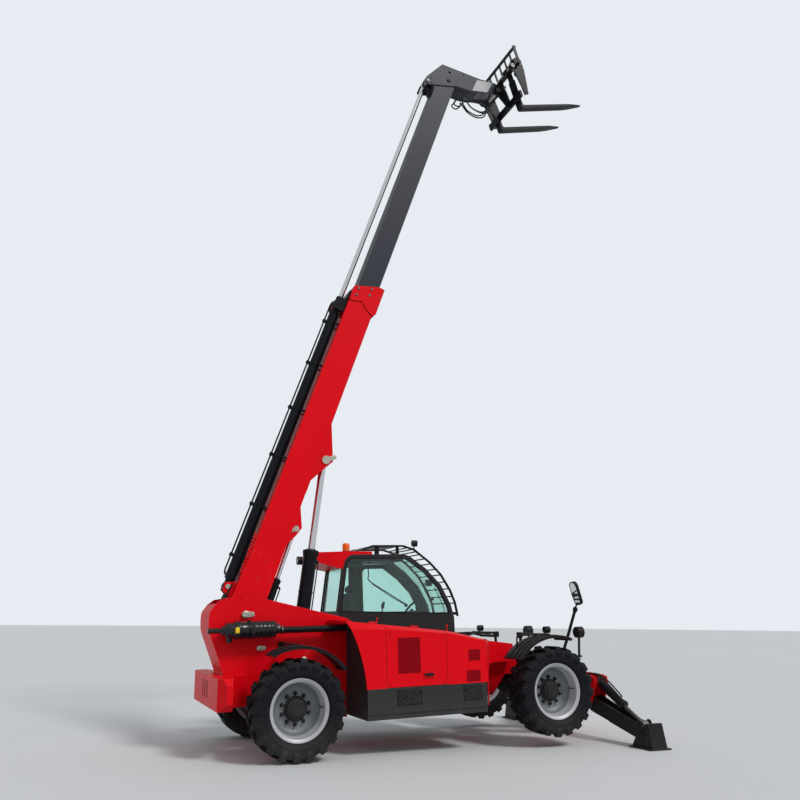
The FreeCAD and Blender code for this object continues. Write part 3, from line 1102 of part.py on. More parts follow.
def foot():
    """Right-hand foot: flat sole, side plates outside the leg and a sloping end plate; drawn on the ground."""
    pin = stance_point(Vector(STAB_X, FOOT_PIN[0], FOOT_PIN[1]))
    half = LEG_HALF + FOOT_GAP
    out, back = pin.y - FOOT_L / 2, pin.y + FOOT_L / 2
    sole = box(pin.x - FOOT_W / 2, pin.x + FOOT_W / 2, out, back, 0, FOOT_T)
    side = [(out + 8, FOOT_T - 1), (back - 8, FOOT_T - 1), (pin.y + 70, pin.z + 30), (pin.y + 20, pin.z + 58),
            (pin.y - 60, pin.z + 90), (pin.y - 122, 296)]
    end = [(out + 8, FOOT_T - 1), (out + 20, FOOT_T - 1), (pin.y - 110, 296), (pin.y - 122, 296)]
    parts = [sole, cross_slab(end, pin.x - half - FOOT_PLATE_T, pin.x + half + FOOT_PLATE_T)]
    for x in (pin.x - half - FOOT_PLATE_T, pin.x + half):
        parts.append(cross_slab(side, x, x + FOOT_PLATE_T))
    bore = rod(Vector(pin.x - 200, pin.y, pin.z), Vector(pin.x + 200, pin.y, pin.z), STAB_PIN_R + FOOT_BORE_PLAY)
    return fuse(parts).cut(bore)


def leg_pins():
    """The foot's pin, and the ram eye's pin as its two ends so that the eye can drift."""
    foot_reach = LEG_HALF + FOOT_GAP + FOOT_PLATE_T + 10
    pins = [rod(Vector(STAB_X - foot_reach, *FOOT_PIN), Vector(STAB_X + foot_reach, *FOOT_PIN), STAB_PIN_R)]
    for k in (-1, 1):
        near, far = STAB_X + k * (RAM_R * 0.8 + 5), STAB_X + k * (LEG_HALF + 5)
        pins.append(rod(Vector(near, *RAM_EYE), Vector(far, *RAM_EYE), RAM_EYE_PIN_R))
    return pins


# Stance and export

def stance_point(p):
    """A chassis point moved to where the raised nose puts it."""
    a = rad(NOSE_UP)
    z = p.z - TYRE_R
    return Vector(p.x * math.cos(a) - z * math.sin(a), p.y, TYRE_R + p.x * math.sin(a) + z * math.cos(a))


def stance(shape):
    moved = shape.copy()
    moved.rotate(Vector(0, 0, TYRE_R), Vector(0, 1, 0), -NOSE_UP)
    return moved


def ram_right():
    """Barrel and rod of the right-hand stabiliser ram."""
    return ram_parts(RAM_BASE, RAM_EYE, RAM_BARREL, RAM_R, RAM_ROD_R, RAM_R * 0.8, (STAB_PIN_R, RAM_EYE_PIN_R),
                     RAM_STROKE, yz_vec, Vector(1, 0, 0))


def machine():
    """All pieces by node name, already in their stance."""
    level = {}
    tyres, rims, knuckles = wheel_set(tyre), wheel_set(wheel), wheel_set(knuckle)
    for corner in tyres:
        level["tyre_" + corner] = tyres[corner]
        level["rim_" + corner] = rims[corner]
        level["knuckle_" + corner] = knuckles[corner]
    level["axles"] = Part.makeCompound([axle(WHEELBASE), axle(0.0)])
    level["mudguards"] = Part.makeCompound(mudguards())
    level["frame"] = frame()
    level["frame_pins"] = Part.makeCompound(frame_pins())
    level["counterweight"] = counterweight()
    level["boom_outer"] = outer_boom()
    level["boom_pads"] = Part.makeCompound(boom_pads())
    level["boom_pins"] = Part.makeCompound(boom_pins())
    level["boom_inner"] = inner_boom()
    level["boom_head"] = Part.makeCompound(boom_head())
    level["head_pins"] = Part.makeCompound(head_pins())
    level["extension_barrel"] = extension_cylinder()
    level["extension_rod"] = extension_rod()
    level["carriage"] = carriage()
    level["fork_shaft"] = Part.makeCompound(fork_shaft())
    level["forks"] = Part.makeCompound(forks())
    cross = Vector(0, 1, 0)
    level["lift_barrel"], level["lift_rod"] = ram_parts(
        LIFT_BASE, boom_xz(*LIFT_PIN_UV), LIFT_BARREL, LIFT_R, LIFT_ROD_R, LIFT_R * 0.75, (PIN_R, PIN_R),
        LIFT_STROKE, xz_vec, cross)
    level["comp_barrel"], level["comp_rod"] = ram_parts(
        COMP_BASE, boom_xz(*COMP_PIN_UV), COMP_BARREL, COMP_R, COMP_ROD_R, COMP_R * 0.9,
        (COMP_PIN_R, COMP_EYE_PIN_R), COMP_STROKE, xz_vec, cross)
    level["tilt_barrel"], level["tilt_rod"] = ram_parts(
        boom_xz(*TILT_BASE_UV), fork_xz(*TILT_EYE_FN), TILT_BARREL, TILT_R, TILT_ROD_R, TILT_R * 0.75,
        (TILT_PIN_R, TILT_EYE_PIN_R), TILT_STROKE, xz_vec, cross)
    level["hood"] = hood()
    level["engine_cowl"] = engine_cowl()
    level["engine_skirt"] = skirt()
    level["engine"] = engine()
    level["air_cleaner"] = air_cleaner()
    level["cab_shell"] = cab_shell()
    level["cab_roof"] = cab_roof()
    level["cab_glass"] = Part.makeCompound(cab_glass())
    level["cab_door"] = cab_door()
    level["door_glass"] = door_glass()
    level["roof_guard"] = Part.makeCompound(roof_guard())
    level["beacon"] = beacon()
    level["seat"] = seat()
    level["console"] = console()
    level["fuel_tank"] = tank()
    level["lamps"] = Part.makeCompound(lamps())
    level["mirrors"] = Part.makeCompound(mirrors())
    barrel, stem = ram_right()
    right = {"leg": Part.makeCompound([leg()] + leg_pins()), "ram_barrel": barrel, "ram_rod": stem}
    for name, shape in right.items():
        level["stabiliser_" + name + "_right"] = shape
        level["stabiliser_" + name + "_left"] = mirror(shape)
    placed = {name: stance(shape) for name, shape in level.items()}
    placed["stabiliser_foot_right"] = foot()
    placed["stabiliser_foot_left"] = mirror(foot())
    return placed


def base_shift(placed):
    """The move that puts the origin in the middle of the base."""
    whole = Part.makeCompound(list(placed.values())).BoundBox
    return Vector(-(whole.XMin + whole.XMax) / 2, 0, 0)


def main():
    os.makedirs("parts", exist_ok=True)
    placed = machine()
    shift = base_shift(placed)
    for name, shape in placed.items():
        shape.translate(shift)
        shape.exportStep("parts/" + name + ".step")
    print("nodes", len(placed), "origin shift", round(shift.x, 3))


main()
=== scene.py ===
import math

import bmesh
import bpy
from mathutils import Matrix, Vector


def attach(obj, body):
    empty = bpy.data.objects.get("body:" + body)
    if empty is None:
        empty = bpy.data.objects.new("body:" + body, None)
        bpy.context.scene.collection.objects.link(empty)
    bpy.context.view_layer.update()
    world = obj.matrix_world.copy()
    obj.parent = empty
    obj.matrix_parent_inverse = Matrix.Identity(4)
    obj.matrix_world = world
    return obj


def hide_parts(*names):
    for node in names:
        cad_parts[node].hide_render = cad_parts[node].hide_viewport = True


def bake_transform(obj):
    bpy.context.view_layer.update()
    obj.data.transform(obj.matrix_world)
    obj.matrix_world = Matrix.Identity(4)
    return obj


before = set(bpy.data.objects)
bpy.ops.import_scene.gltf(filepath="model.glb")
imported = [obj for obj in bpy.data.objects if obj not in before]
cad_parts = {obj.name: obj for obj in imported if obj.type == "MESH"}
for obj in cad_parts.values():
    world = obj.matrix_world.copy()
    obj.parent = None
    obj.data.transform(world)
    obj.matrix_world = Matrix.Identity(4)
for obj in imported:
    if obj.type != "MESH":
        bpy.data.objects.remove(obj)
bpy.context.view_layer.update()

bl_info = {
    "name": "Telehandler dressing",
    "version": (1, 0, 0),
    "blender": (4, 5, 0),
    "location": "View3D > Sidebar > Telehandler",
    "description": "Finishes and fine pieces for a telehandler on its stabilisers",
    "category": "Object",
}

# How the machine stands, in millimetres and degrees, as its source has it
NOSE_UP = 1.967
AXLE_HEIGHT = 533.0
BASE_SHIFT = -1953.607
WHEELBASE = 3300.0
TRACK_Y = 985.0
BOOM_PIVOT = (-450.0, 1550.0)
BOOM_ANGLE = 69.7
CARRIAGE_PIVOT = (3620.0, 9980.0)
FORK_ANGLE = 16.0
LEG_X = 4300.0
LEG_PIN = (500, 290)
RAM_BASE = (640, 555)
RAM_EYE = (1487, 113)
LIFT_BASE = (270, 1000)
LIFT_EYE = (2198, -318)
COMP_BASE = (-275, 1160)
COMP_EYE = (1214, -272)
TILT_BASE = (8980, -50)
TILT_EYE = (150, 125)
LEFT_WHEELS_TURN = 13.0
CORNERS = (("front_right", WHEELBASE, -1), ("front_left", WHEELBASE, 1),
           ("rear_right", 0.0, -1), ("rear_left", 0.0, 1))


# Places

def on_chassis(x, y, z):
    """A point of the level chassis, in millimetres, to where the raised nose puts it, in metres."""
    a = math.radians(NOSE_UP)
    up = z - AXLE_HEIGHT
    return Vector((x * math.cos(a) - up * math.sin(a) + BASE_SHIFT, y,
                   AXLE_HEIGHT + x * math.sin(a) + up * math.cos(a))) / 1000


def slanted(pivot, degrees, along, square):
    """Chassis X and Z of a point given along and square to a slanted line through a pivot."""
    a = math.radians(degrees)
    return (pivot[0] + along * math.cos(a) - square * math.sin(a),
            pivot[1] + along * math.sin(a) + square * math.cos(a))


def boom_point(uv):
    """Chassis X and Z of a boom point, u along the boom and v towards its back."""
    return slanted(BOOM_PIVOT, BOOM_ANGLE, *uv)


def fork_point(fn):
    """Chassis X and Z of a carriage point, f along the forks and n square to them."""
    return slanted(CARRIAGE_PIVOT, FORK_ANGLE, *fn)


def on_boom(u, y, v):
    """A point u along the boom from its pivot and v towards its back."""
    return chassis_spot(boom_point((u, v)), y)


def on_fork(f, y, n):
    """A point f along the forks from the carriage pivot and n square to them."""
    return chassis_spot(fork_point((f, n)), y)


def chassis_spot(point, y):
    """Places an (x, z) point at y."""
    return on_chassis(point[0], y, point[1])


def leg_spot(point, x):
    """Places a (y, z) point at station x."""
    return on_chassis(x, point[0], point[1])


AHEAD = on_chassis(1, 0, 0) - on_chassis(0, 0, 0)
UP = on_chassis(0, 0, 1) - on_chassis(0, 0, 0)
BOOM_AHEAD = on_boom(1, 0, 0) - on_boom(0, 0, 0)
BOOM_UP = on_boom(0, 0, 1) - on_boom(0, 0, 0)
LEFT = Vector((0, 1, 0))
RIGHT = Vector((0, -1, 0))


# Mesh work

def prism(bm, points, y0, y1, place=on_chassis):
    """A plate: its outline of (a, b) points, carried from y0 to y1."""
    rings = [[bm.verts.new(place(a, y, b)) for a, b in points] for y in (y0, y1)]
    bm.faces.new(rings[0])
    bm.faces.new(rings[1][::-1])
    count = len(points)
    for k in range(count):
        bm.faces.new((rings[0][k], rings[1][k], rings[1][(k + 1) % count], rings[0][(k + 1) % count]))


def block(bm, x0, x1, y0, y1, z0, z1, place=on_chassis):
    """A box with its faces along the chassis."""
    prism(bm, [(x0, z0), (x1, z0), (x1, z1), (x0, z1)], y0, y1, place)


def side_plate(bm, points, s, near, far, place=on_boom):
    """A plate on side s, between two distances from the centreline."""
    y0, y1 = sorted((s * near, s * far))
    prism(bm, points, y0, y1, place)


def cross_axes(axis):
    """Two directions square to an axis and to each other."""
    axis = axis.normalized()
    side = axis.cross(Vector((0, 0, 1)))
    if side.length < 0.05:
        side = axis.cross(Vector((1, 0, 0)))
    side.normalize()
    return side, axis.cross(side).normalized()


def turned(bm, start, axis, profile, steps=32):
    """A turned form: (along, radius) points in millimetres spun about the axis through start."""
    axis = axis.normalized()
    side, up = cross_axes(axis)
    rings = []
    for along, radius in profile:
        centre = start + axis * (along / 1000)
        if radius <= 0:
            rings.append([bm.verts.new(centre)])
            continue
        ring = []
        for k in range(steps):
            t = 2 * math.pi * k / steps
            ring.append(bm.verts.new(centre + (side * math.cos(t) + up * math.sin(t)) * (radius / 1000)))
        rings.append(ring)
    for low, high in zip(rings, rings[1:]):
        for k in range(steps):
            n = (k + 1) % steps
            if len(low) == 1 and len(high) == 1:
                continue
            if len(low) == 1:
                bm.faces.new((low[0], high[n], high[k]))
            elif len(high) == 1:
                bm.faces.new((low[k], low[n], high[0]))
            else:
                bm.faces.new((low[k], low[n], high[n], high[k]))
    for ring, flip in ((rings[0], True), (rings[-1], False)):
        if len(ring) > 2 and profile[0] != profile[-1]:
            bm.faces.new(ring[::-1] if flip else ring)


def round_bar(bm, p, q, radius, steps=16):
    """A round bar from p to q, its ends slightly eased."""
    length = (q - p).length * 1000
    ease = min(radius * 0.15, length * 0.2)
    turned(bm, p, q - p, [(0, 0), (0, radius - ease), (ease, radius), (length - ease, radius),
                          (length, radius - ease), (length, 0)], steps)


def hex_bolt(bm, at, axis, across_flats, washer=True):
    """A hexagon head on its washer, standing on a surface."""
    axis = axis.normalized()
    height = across_flats * 0.42
    if washer:
        turned(bm, at - axis * 0.002, axis, [(0, 0), (0, across_flats * 0.72), (5, across_flats * 0.72), (5, 0)], 16)
    radius = across_flats / math.sqrt(3)
    turned(bm, at - axis * 0.002, axis, [(0, 0), (0, radius), (height * 0.85 + 4, radius),
                                         (height + 4, radius * 0.86), (height + 4, 0)], 6)


def swept(bm, points, radius, steps=10):
    """A tube of round section along points that lie close together."""
    rings = []
    side = None
    for k, point in enumerate(points):
        ahead = points[min(k + 1, len(points) - 1)]
        behind = points[max(k - 1, 0)]
        way = (ahead - behind).normalized()
        if side is None:
            side, _ = cross_axes(way)
        side = (side - way * side.dot(way)).normalized()
        up = way.cross(side)
        rings.append([bm.verts.new(point + (side * math.cos(t) + up * math.sin(t)) * (radius / 1000))
                      for t in (2 * math.pi * j / steps for j in range(steps))])
    for low, high in zip(rings, rings[1:]):
        for j in range(steps):
            n = (j + 1) % steps
            bm.faces.new((low[j], low[n], high[n], high[j]))
    bm.faces.new(rings[0][::-1])
    bm.faces.new(rings[-1])


def bent_line(points, steps=8):
    """Points of a smooth line through the given ones."""
    ends = [points[0] * 2 - points[1]] + list(points) + [points[-1] * 2 - points[-2]]
    line = []
    for a, b, c, d in zip(ends, ends[1:], ends[2:], ends[3:]):
        for k in range(steps):
            t = k / steps
            line.append(0.5 * ((2 * b) + (c - a) * t + (2 * a - 5 * b + 4 * c - d) * t * t
                               + (3 * b - a - 3 * c + d) * t ** 3))
    line.append(points[-1])
    return line


def free_object(name, bm, finish):
    """A smooth object of the mesh with its finish, that rides on nothing yet."""
    bmesh.ops.recalc_face_normals(bm, faces=bm.faces)
    mesh = bpy.data.meshes.new(name)
    bm.to_mesh(mesh)
    bm.free()
    for face in mesh.polygons:
        face.use_smooth = True
    mesh.materials.append(FINISHES[finish])
    obj = bpy.data.objects.new(name, mesh)
    bpy.context.scene.collection.objects.link(obj)
    return obj


def piece(name, bm, finish, body, bevel=0.0, stands_for=()):
    """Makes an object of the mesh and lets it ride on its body."""
    bmesh.ops.remove_doubles(bm, verts=bm.verts, dist=0.00001)
    obj = free_object(name, bm, finish)
    obj.data.set_sharp_from_angle(angle=SHARP_ANGLE)
    if bevel:
        edge = obj.modifiers.new("eased_edges", "BEVEL")
        edge.width = bevel / 1000
        edge.segments = 2
        edge.limit_method = "ANGLE"
        edge.angle_limit = math.radians(40)
        edge.harden_normals = True
    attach(obj, body)
    if stands_for:
        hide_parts(*stands_for)
    return obj


# Finishes

def node_group(name, inputs, outputs):
    """An empty shader group with its sockets; inputs are (name, kind, default)."""
    group = bpy.data.node_groups.new(name, "ShaderNodeTree")
    for label, kind, value in inputs:
        socket = group.interface.new_socket(label, in_out="INPUT", socket_type=kind)
        socket.default_value = value
    for label, kind in outputs:
        group.interface.new_socket(label, in_out="OUTPUT", socket_type=kind)
    return group, group.nodes.new("NodeGroupInput"), group.nodes.new("NodeGroupOutput")


def math_node(tree, operation, a, b=None, clamp=False):
    """A Math node whose inputs are links or numbers."""
    node = tree.nodes.new("ShaderNodeMath")
    node.operation = operation
    node.use_clamp = clamp
    for socket, value in zip(node.inputs, (a, b)):
        if value is None:
            continue
        if isinstance(value, (int, float)):
            socket.default_value = value
        else:
            tree.links.new(value, socket)
    return node.outputs[0]


def mix_colour(tree, factor, a, b, blend="MIX"):
    """A colour Mix node whose inputs are links or values."""
    node = tree.nodes.new("ShaderNodeMix")
    node.data_type = "RGBA"
    node.blend_type = blend
    for socket, value in zip((node.inputs[0], node.inputs[6], node.inputs[7]), (factor, a, b)):
        if isinstance(value, (int, float, tuple)):
            socket.default_value = value
        else:
            tree.links.new(value, socket)
    return node.outputs[2]


def noise(tree, scale, detail=3.0, rough=0.55, stretch=None):
    """Noise in the object's own coordinates; stretch squeezes it along an axis."""
    where = tree.nodes.new("ShaderNodeTexCoord").outputs["Object"]
    if stretch:
        squeeze = tree.nodes.new("ShaderNodeVectorMath")
        squeeze.operation = "MULTIPLY"
        squeeze.inputs[1].default_value = stretch
        tree.links.new(where, squeeze.inputs[0])
        where = squeeze.outputs[0]
    node = tree.nodes.new("ShaderNodeTexNoise")
    tree.links.new(where, node.inputs["Vector"])
    if isinstance(scale, (int, float)):
        node.inputs["Scale"].default_value = scale
    else:
        tree.links.new(scale, node.inputs["Scale"])
    node.inputs["Detail"].default_value = detail
    node.inputs["Roughness"].default_value = rough
    return node.outputs["Fac"]


def broken_colour_group():
    """Slow changes of shade over a painted or moulded surface."""
    group, enter, leave = node_group("broken_colour", [
        ("Colour", "NodeSocketColor", (0.5, 0.5, 0.5, 1)), ("Spread", "NodeSocketFloat", 0.08),
        ("Scale", "NodeSocketFloat", 2.0)], [("Colour", "NodeSocketColor"), ("Mask", "NodeSocketFloat")])
    coarse = noise(group, enter.outputs["Scale"], 4.0, 0.6)
    centred = math_node(group, "SUBTRACT", coarse, 0.5)
    swing = math_node(group, "MULTIPLY", centred, enter.outputs["Spread"])
    gain = math_node(group, "ADD", math_node(group, "MULTIPLY", swing, 4.0), 1.0)
    scale = group.nodes.new("ShaderNodeVectorMath")
    scale.operation = "SCALE"
    group.links.new(enter.outputs["Colour"], scale.inputs[0])
    group.links.new(gain, scale.inputs["Scale"])
    group.links.new(scale.outputs[0], leave.inputs["Colour"])
    group.links.new(coarse, leave.inputs["Mask"])
    return group


def settled_dust_group():
    """Dust that lies on faces turned upwards and is thrown up from the ground."""
    group, enter, leave = node_group("settled_dust", [
        ("Colour", "NodeSocketColor", (0.5, 0.5, 0.5, 1)), ("Dust", "NodeSocketColor", (0.42, 0.38, 0.33, 1)),
        ("Amount", "NodeSocketFloat", 0.2), ("Reach", "NodeSocketFloat", 0.9)],
        [("Colour", "NodeSocketColor"), ("Mask", "NodeSocketFloat")])
    where = group.nodes.new("ShaderNodeSeparateXYZ")
    group.links.new(group.nodes.new("ShaderNodeTexCoord").outputs["Object"], where.inputs[0])
    low = math_node(group, "SUBTRACT", 1.0, math_node(group, "DIVIDE", where.outputs["Z"], enter.outputs["Reach"]),
                    clamp=True)
    facing = group.nodes.new("ShaderNodeSeparateXYZ")
    group.links.new(group.nodes.new("ShaderNodeNewGeometry").outputs["Normal"], facing.inputs[0])
    lying = math_node(group, "MULTIPLY", math_node(group, "MAXIMUM", facing.outputs["Z"], 0.0), 0.55)
    both = math_node(group, "MAXIMUM", low, lying)
    patch = math_node(group, "MULTIPLY", both, noise(group, 7.0, 6.0, 0.62))
    mask = math_node(group, "MULTIPLY", math_node(group, "MULTIPLY", patch, 1.8), enter.outputs["Amount"],
                     clamp=True)
    mixed = mix_colour(group, mask, enter.outputs["Colour"], enter.outputs["Dust"])
    group.links.new(mixed, leave.inputs["Colour"])
    group.links.new(mask, leave.inputs["Mask"])
    return group


def worn_edge_group():
    """Where an outer edge is rubbed: the eased normal against the true one, broken up by noise."""
    group, enter, leave = node_group("worn_edge", [("Amount", "NodeSocketFloat", 0.5)],
                                     [("Mask", "NodeSocketFloat")])
    eased = group.nodes.new("ShaderNodeBevel")
    eased.samples = 4
    eased.inputs["Radius"].default_value = 0.006
    dot = group.nodes.new("ShaderNodeVectorMath")
    dot.operation = "DOT_PRODUCT"
    group.links.new(eased.outputs[0], dot.inputs[0])
    group.links.new(group.nodes.new("ShaderNodeNewGeometry").outputs["Normal"], dot.inputs[1])
    edge = math_node(group, "SUBTRACT", 1.0, dot.outputs["Value"], clamp=True)
    rub = math_node(group, "SUBTRACT", noise(group, 38.0, 5.0, 0.7), 0.42)
    mask = math_node(group, "MULTIPLY", math_node(group, "MULTIPLY", edge, rub), 60.0)
    mask = math_node(group, "MULTIPLY", mask, enter.outputs["Amount"], clamp=True)
    group.links.new(mask, leave.inputs["Mask"])
    return group


def grain_group():
    """Height of a fine surface grain, from paint peel to cast skin."""
    group, enter, leave = node_group("surface_grain", [
        ("Scale", "NodeSocketFloat", 120.0), ("Coarse", "NodeSocketFloat", 0.3)], [("Height", "NodeSocketFloat")])
    fine = noise(group, enter.outputs["Scale"], 2.0, 0.5)
    slow = noise(group, math_node(group, "MULTIPLY", enter.outputs["Scale"], 0.12), 2.0, 0.5)
    height = math_node(group, "ADD", fine, math_node(group, "MULTIPLY", slow, enter.outputs["Coarse"]))
    group.links.new(height, leave.inputs["Height"])
    return group


GROUPS = {}
FINISHES = {}
SHARP_ANGLE = math.radians(38)


def placed_group(tree, name, **values):
    """A group node in a material, with its own values."""
    node = tree.nodes.new("ShaderNodeGroup")
    node.node_tree = GROUPS[name]
    for label, value in values.items():
        node.inputs[label].default_value = value
    return node


def make_finish(name, tint, rough=0.45, metal=0.0, coat=0.0, spread=0.05, scale=1.6, dust=0.2, reach=0.9,
                wear=0.0, bare=(0.32, 0.31, 0.30), grain=160.0, depth=0.0004, coarse=0.3, rough_swing=0.12,
                eased=True, shine=0.3):
    """A painted, moulded or metal finish: shade, dust, rubbed edges, grain and eased edges."""
    material = bpy.data.materials.new(name)
    material.use_nodes = True
    tree = material.node_tree
    shader = tree.nodes["Principled BSDF"]
    shader.inputs["Metallic"].default_value = metal
    shader.inputs["Specular IOR Level"].default_value = shine
    if coat:
        shader.inputs["Coat Weight"].default_value = coat
        shader.inputs["Coat Roughness"].default_value = 0.12
    shade = placed_group(tree, "broken_colour", Colour=(*tint, 1), Spread=spread, Scale=scale)
    dusted = placed_group(tree, "settled_dust", Amount=dust, Reach=reach)
    tree.links.new(shade.outputs["Colour"], dusted.inputs["Colour"])
    colour = dusted.outputs["Colour"]
    matt = math_node(tree, "MULTIPLY", math_node(tree, "SUBTRACT", shade.outputs["Mask"], 0.5), rough_swing)
    matt = math_node(tree, "ADD", matt, rough)
    matt = math_node(tree, "ADD", matt, math_node(tree, "MULTIPLY", dusted.outputs["Mask"], 0.35), clamp=True)
    if wear:
        rubbed = placed_group(tree, "worn_edge", Amount=wear)
        colour = mix_colour(tree, rubbed.outputs["Mask"], colour, (*bare, 1))
    tree.links.new(colour, shader.inputs["Base Color"])
    tree.links.new(matt, shader.inputs["Roughness"])
    skin = placed_group(tree, "surface_grain", Scale=grain, Coarse=coarse)
    bump = tree.nodes.new("ShaderNodeBump")
    bump.inputs["Strength"].default_value = 1.0
    bump.inputs["Distance"].default_value = depth
    tree.links.new(skin.outputs["Height"], bump.inputs["Height"])
    if eased:
        round_off = tree.nodes.new("ShaderNodeBevel")
        round_off.samples = 4
        round_off.inputs["Radius"].default_value = 0.004
        tree.links.new(round_off.outputs[0], bump.inputs["Normal"])
    tree.links.new(bump.outputs[0], shader.inputs["Normal"])
    FINISHES[name] = material


def make_glass(name, tint, shade_alpha=0.35, rough=0.02):
    """Clear tinted glass that lets part of the light through to what is behind it."""
    material = bpy.data.materials.new(name)
    material.use_nodes = True
    tree = material.node_tree
    shader = tree.nodes["Principled BSDF"]
    shader.inputs["Transmission Weight"].default_value = 1.0
    shader.inputs["IOR"].default_value = 1.45
    film = placed_group(tree, "broken_colour", Colour=(*tint, 1), Spread=0.02, Scale=1.5)
    tree.links.new(film.outputs["Colour"], shader.inputs["Base Color"])
    smear = math_node(tree, "MULTIPLY", noise(tree, 3.0, 5.0, 0.6), rough * 2)
    tree.links.new(smear, shader.inputs["Roughness"])
    path = tree.nodes.new("ShaderNodeLightPath")
    alpha = math_node(tree, "SUBTRACT", 1.0, math_node(tree, "MULTIPLY", path.outputs["Is Shadow Ray"],
                                                       1 - shade_alpha))
    tree.links.new(alpha, shader.inputs["Alpha"])
    FINISHES[name] = material


def make_finishes(colours):
    """All groups and finishes."""
    GROUPS["broken_colour"] = broken_colour_group()
    GROUPS["settled_dust"] = settled_dust_group()
    GROUPS["worn_edge"] = worn_edge_group()
    GROUPS["surface_grain"] = grain_group()
    red, boom_grey, charcoal = tuple(colours.body), tuple(colours.inner_boom), tuple(colours.trim)
    make_finish("red_paint", red, 0.38, coat=0.03, spread=0.035, dust=0.012, reach=0.8, wear=0.1, depth=0.00015,
                shine=0.08)
    # A darker copy of the body red, used as painted shade: the shadowed lower bay wall, the vent wires before the
    # dark bay and the hood buttons
    make_finish("painted_shade_red", (red[0] * 0.42, red[1] * 0.7, red[2] * 0.7), 0.55, spread=0.05, dust=0.05,
                reach=0.8, depth=0.00015, shine=0.1)
    make_finish("screen_shadow", (red[0] * 0.5, red[1] * 1.4, red[2] * 1.6), 0.7, spread=0.1, dust=0.02,
                depth=0.00015, shine=0.05, eased=False)
    make_finish("boom_grey_paint", boom_grey, 0.42, coat=0.03, spread=0.06, dust=0.02, wear=0.25, depth=0.00015,
                shine=0.15)
    make_finish("charcoal_paint", charcoal, 0.48, spread=0.06, dust=0.08, wear=0.25, depth=0.0002, shine=0.15)
    make_finish("black_paint", (0.0055, 0.0065, 0.0095), 0.36, coat=0.03, spread=0.1, dust=0.04, wear=0.25,
                depth=0.0002, bare=(0.12, 0.115, 0.11), shine=0.12)
    # A darker copy of the silver paint for the rim's dish: painted shade inside the rim
    make_finish("disc_painted_shade_grey", (0.17, 0.185, 0.21), 0.46, metal=0.2, spread=0.06, dust=0.05, reach=1.2, depth=0.0002,
                shine=0.25)
    make_finish("silver_paint", (0.46, 0.47, 0.50), 0.42, metal=0.2, spread=0.05, dust=0.1, reach=1.2,
                wear=0.15, depth=0.0002, shine=0.3)
    # Light grey for the bent tips of the head plates: a painted highlight where they catch the lamp
    make_finish("light_grey_paint", (0.42, 0.43, 0.44), 0.5, spread=0.05, dust=0.05, wear=0.2)
    make_finish("zinc", (0.50, 0.47, 0.40), 0.38, metal=0.85, spread=0.1, scale=9.0, dust=0.04, depth=0.0002)
    make_finish("dark_zinc", (0.13, 0.128, 0.122), 0.42, metal=0.8, spread=0.12, scale=9.0, dust=0.05, depth=0.0002)
    make_finish("bright_chrome", (0.80, 0.81, 0.84), 0.1, metal=1.0, spread=0.01, dust=0.0, depth=0.00003,
                rough_swing=0.04)
    make_finish("cast_iron", (0.014, 0.014, 0.016), 0.55, metal=0.1, spread=0.12, scale=5.0, dust=0.10, grain=90.0,
                depth=0.001, coarse=0.8, shine=0.18)
    make_finish("tyre_rubber", (0.0085, 0.0095, 0.0125), 0.62, spread=0.14, scale=5.0, dust=0.07, reach=0.5,
                grain=210.0, depth=0.0005, shine=0.12)
    make_finish("black_plastic", (0.0095, 0.0095, 0.0115), 0.44, spread=0.06, dust=0.04, grain=420.0, depth=0.0003,
                shine=0.17)
    make_finish("gloss_plastic", (0.010, 0.010, 0.012), 0.22, spread=0.05, dust=0.03, grain=420.0, depth=0.0001,
                shine=0.4)
    make_finish("hose_rubber", (0.010, 0.010, 0.011), 0.42, spread=0.1, scale=12.0, dust=0.04, grain=700.0,
                depth=0.0002, eased=False, shine=0.18)
    make_finish("beacon_plastic", (0.90, 0.17, 0.008), 0.2, coat=0.2, spread=0.04, dust=0.02, depth=0.00005,
                eased=False)
    make_finish("pad_plastic", (0.62, 0.60, 0.54), 0.5, spread=0.05, dust=0.1)
    make_finish("yellow_plastic", (0.86, 0.60, 0.02), 0.42, spread=0.04, dust=0.05)
    make_finish("seat_fabric", (0.022, 0.023, 0.026), 0.86, spread=0.18, scale=16.0, dust=0.02, grain=900.0,
                depth=0.0008, eased=False, shine=0.15)
    make_glass("window_glass", (0.66, 0.88, 0.82))
    make_glass("amber_lens", (1.0, 0.20, 0.01), 0.6, 0.08)
    make_glass("clear_lens", (0.92, 0.94, 0.95), 0.4, 0.05)
    make_finish("mirror_glass", (0.80, 0.83, 0.86), 0.03, metal=1.0, spread=0.01, dust=0.0, depth=0.00001,
                rough_swing=0.02, eased=False)


NODE_FINISH = {
    "frame": "red_paint", "counterweight": "red_paint", "boom_outer": "red_paint", "hood": "red_paint",
    "engine_cowl": "red_paint", "cab_roof": "red_paint", "boom_inner": "boom_grey_paint",
    "boom_head": "boom_grey_paint", "boom_pads": "pad_plastic", "boom_pins": "zinc", "frame_pins": "zinc",
    "head_pins": "zinc", "extension_barrel": "black_paint", "extension_rod": "bright_chrome",
    "carriage": "black_paint", "fork_shaft": "zinc", "forks": "black_paint", "lift_barrel": "black_paint",
    "lift_rod": "bright_chrome", "comp_barrel": "black_paint", "comp_rod": "bright_chrome",
    "tilt_barrel": "black_paint", "tilt_rod": "bright_chrome", "axles": "cast_iron", "mudguards": "black_plastic",
    "engine_skirt": "charcoal_paint", "engine": "cast_iron", "air_cleaner": "black_plastic",
    "cab_shell": "charcoal_paint", "cab_glass": "window_glass", "cab_door": "charcoal_paint",
    "door_glass": "window_glass", "roof_guard": "black_paint", "beacon": "amber_lens", "seat": "seat_fabric",
    "console": "black_plastic", "fuel_tank": "black_paint", "lamps": "black_plastic", "mirrors": "black_plastic",
}
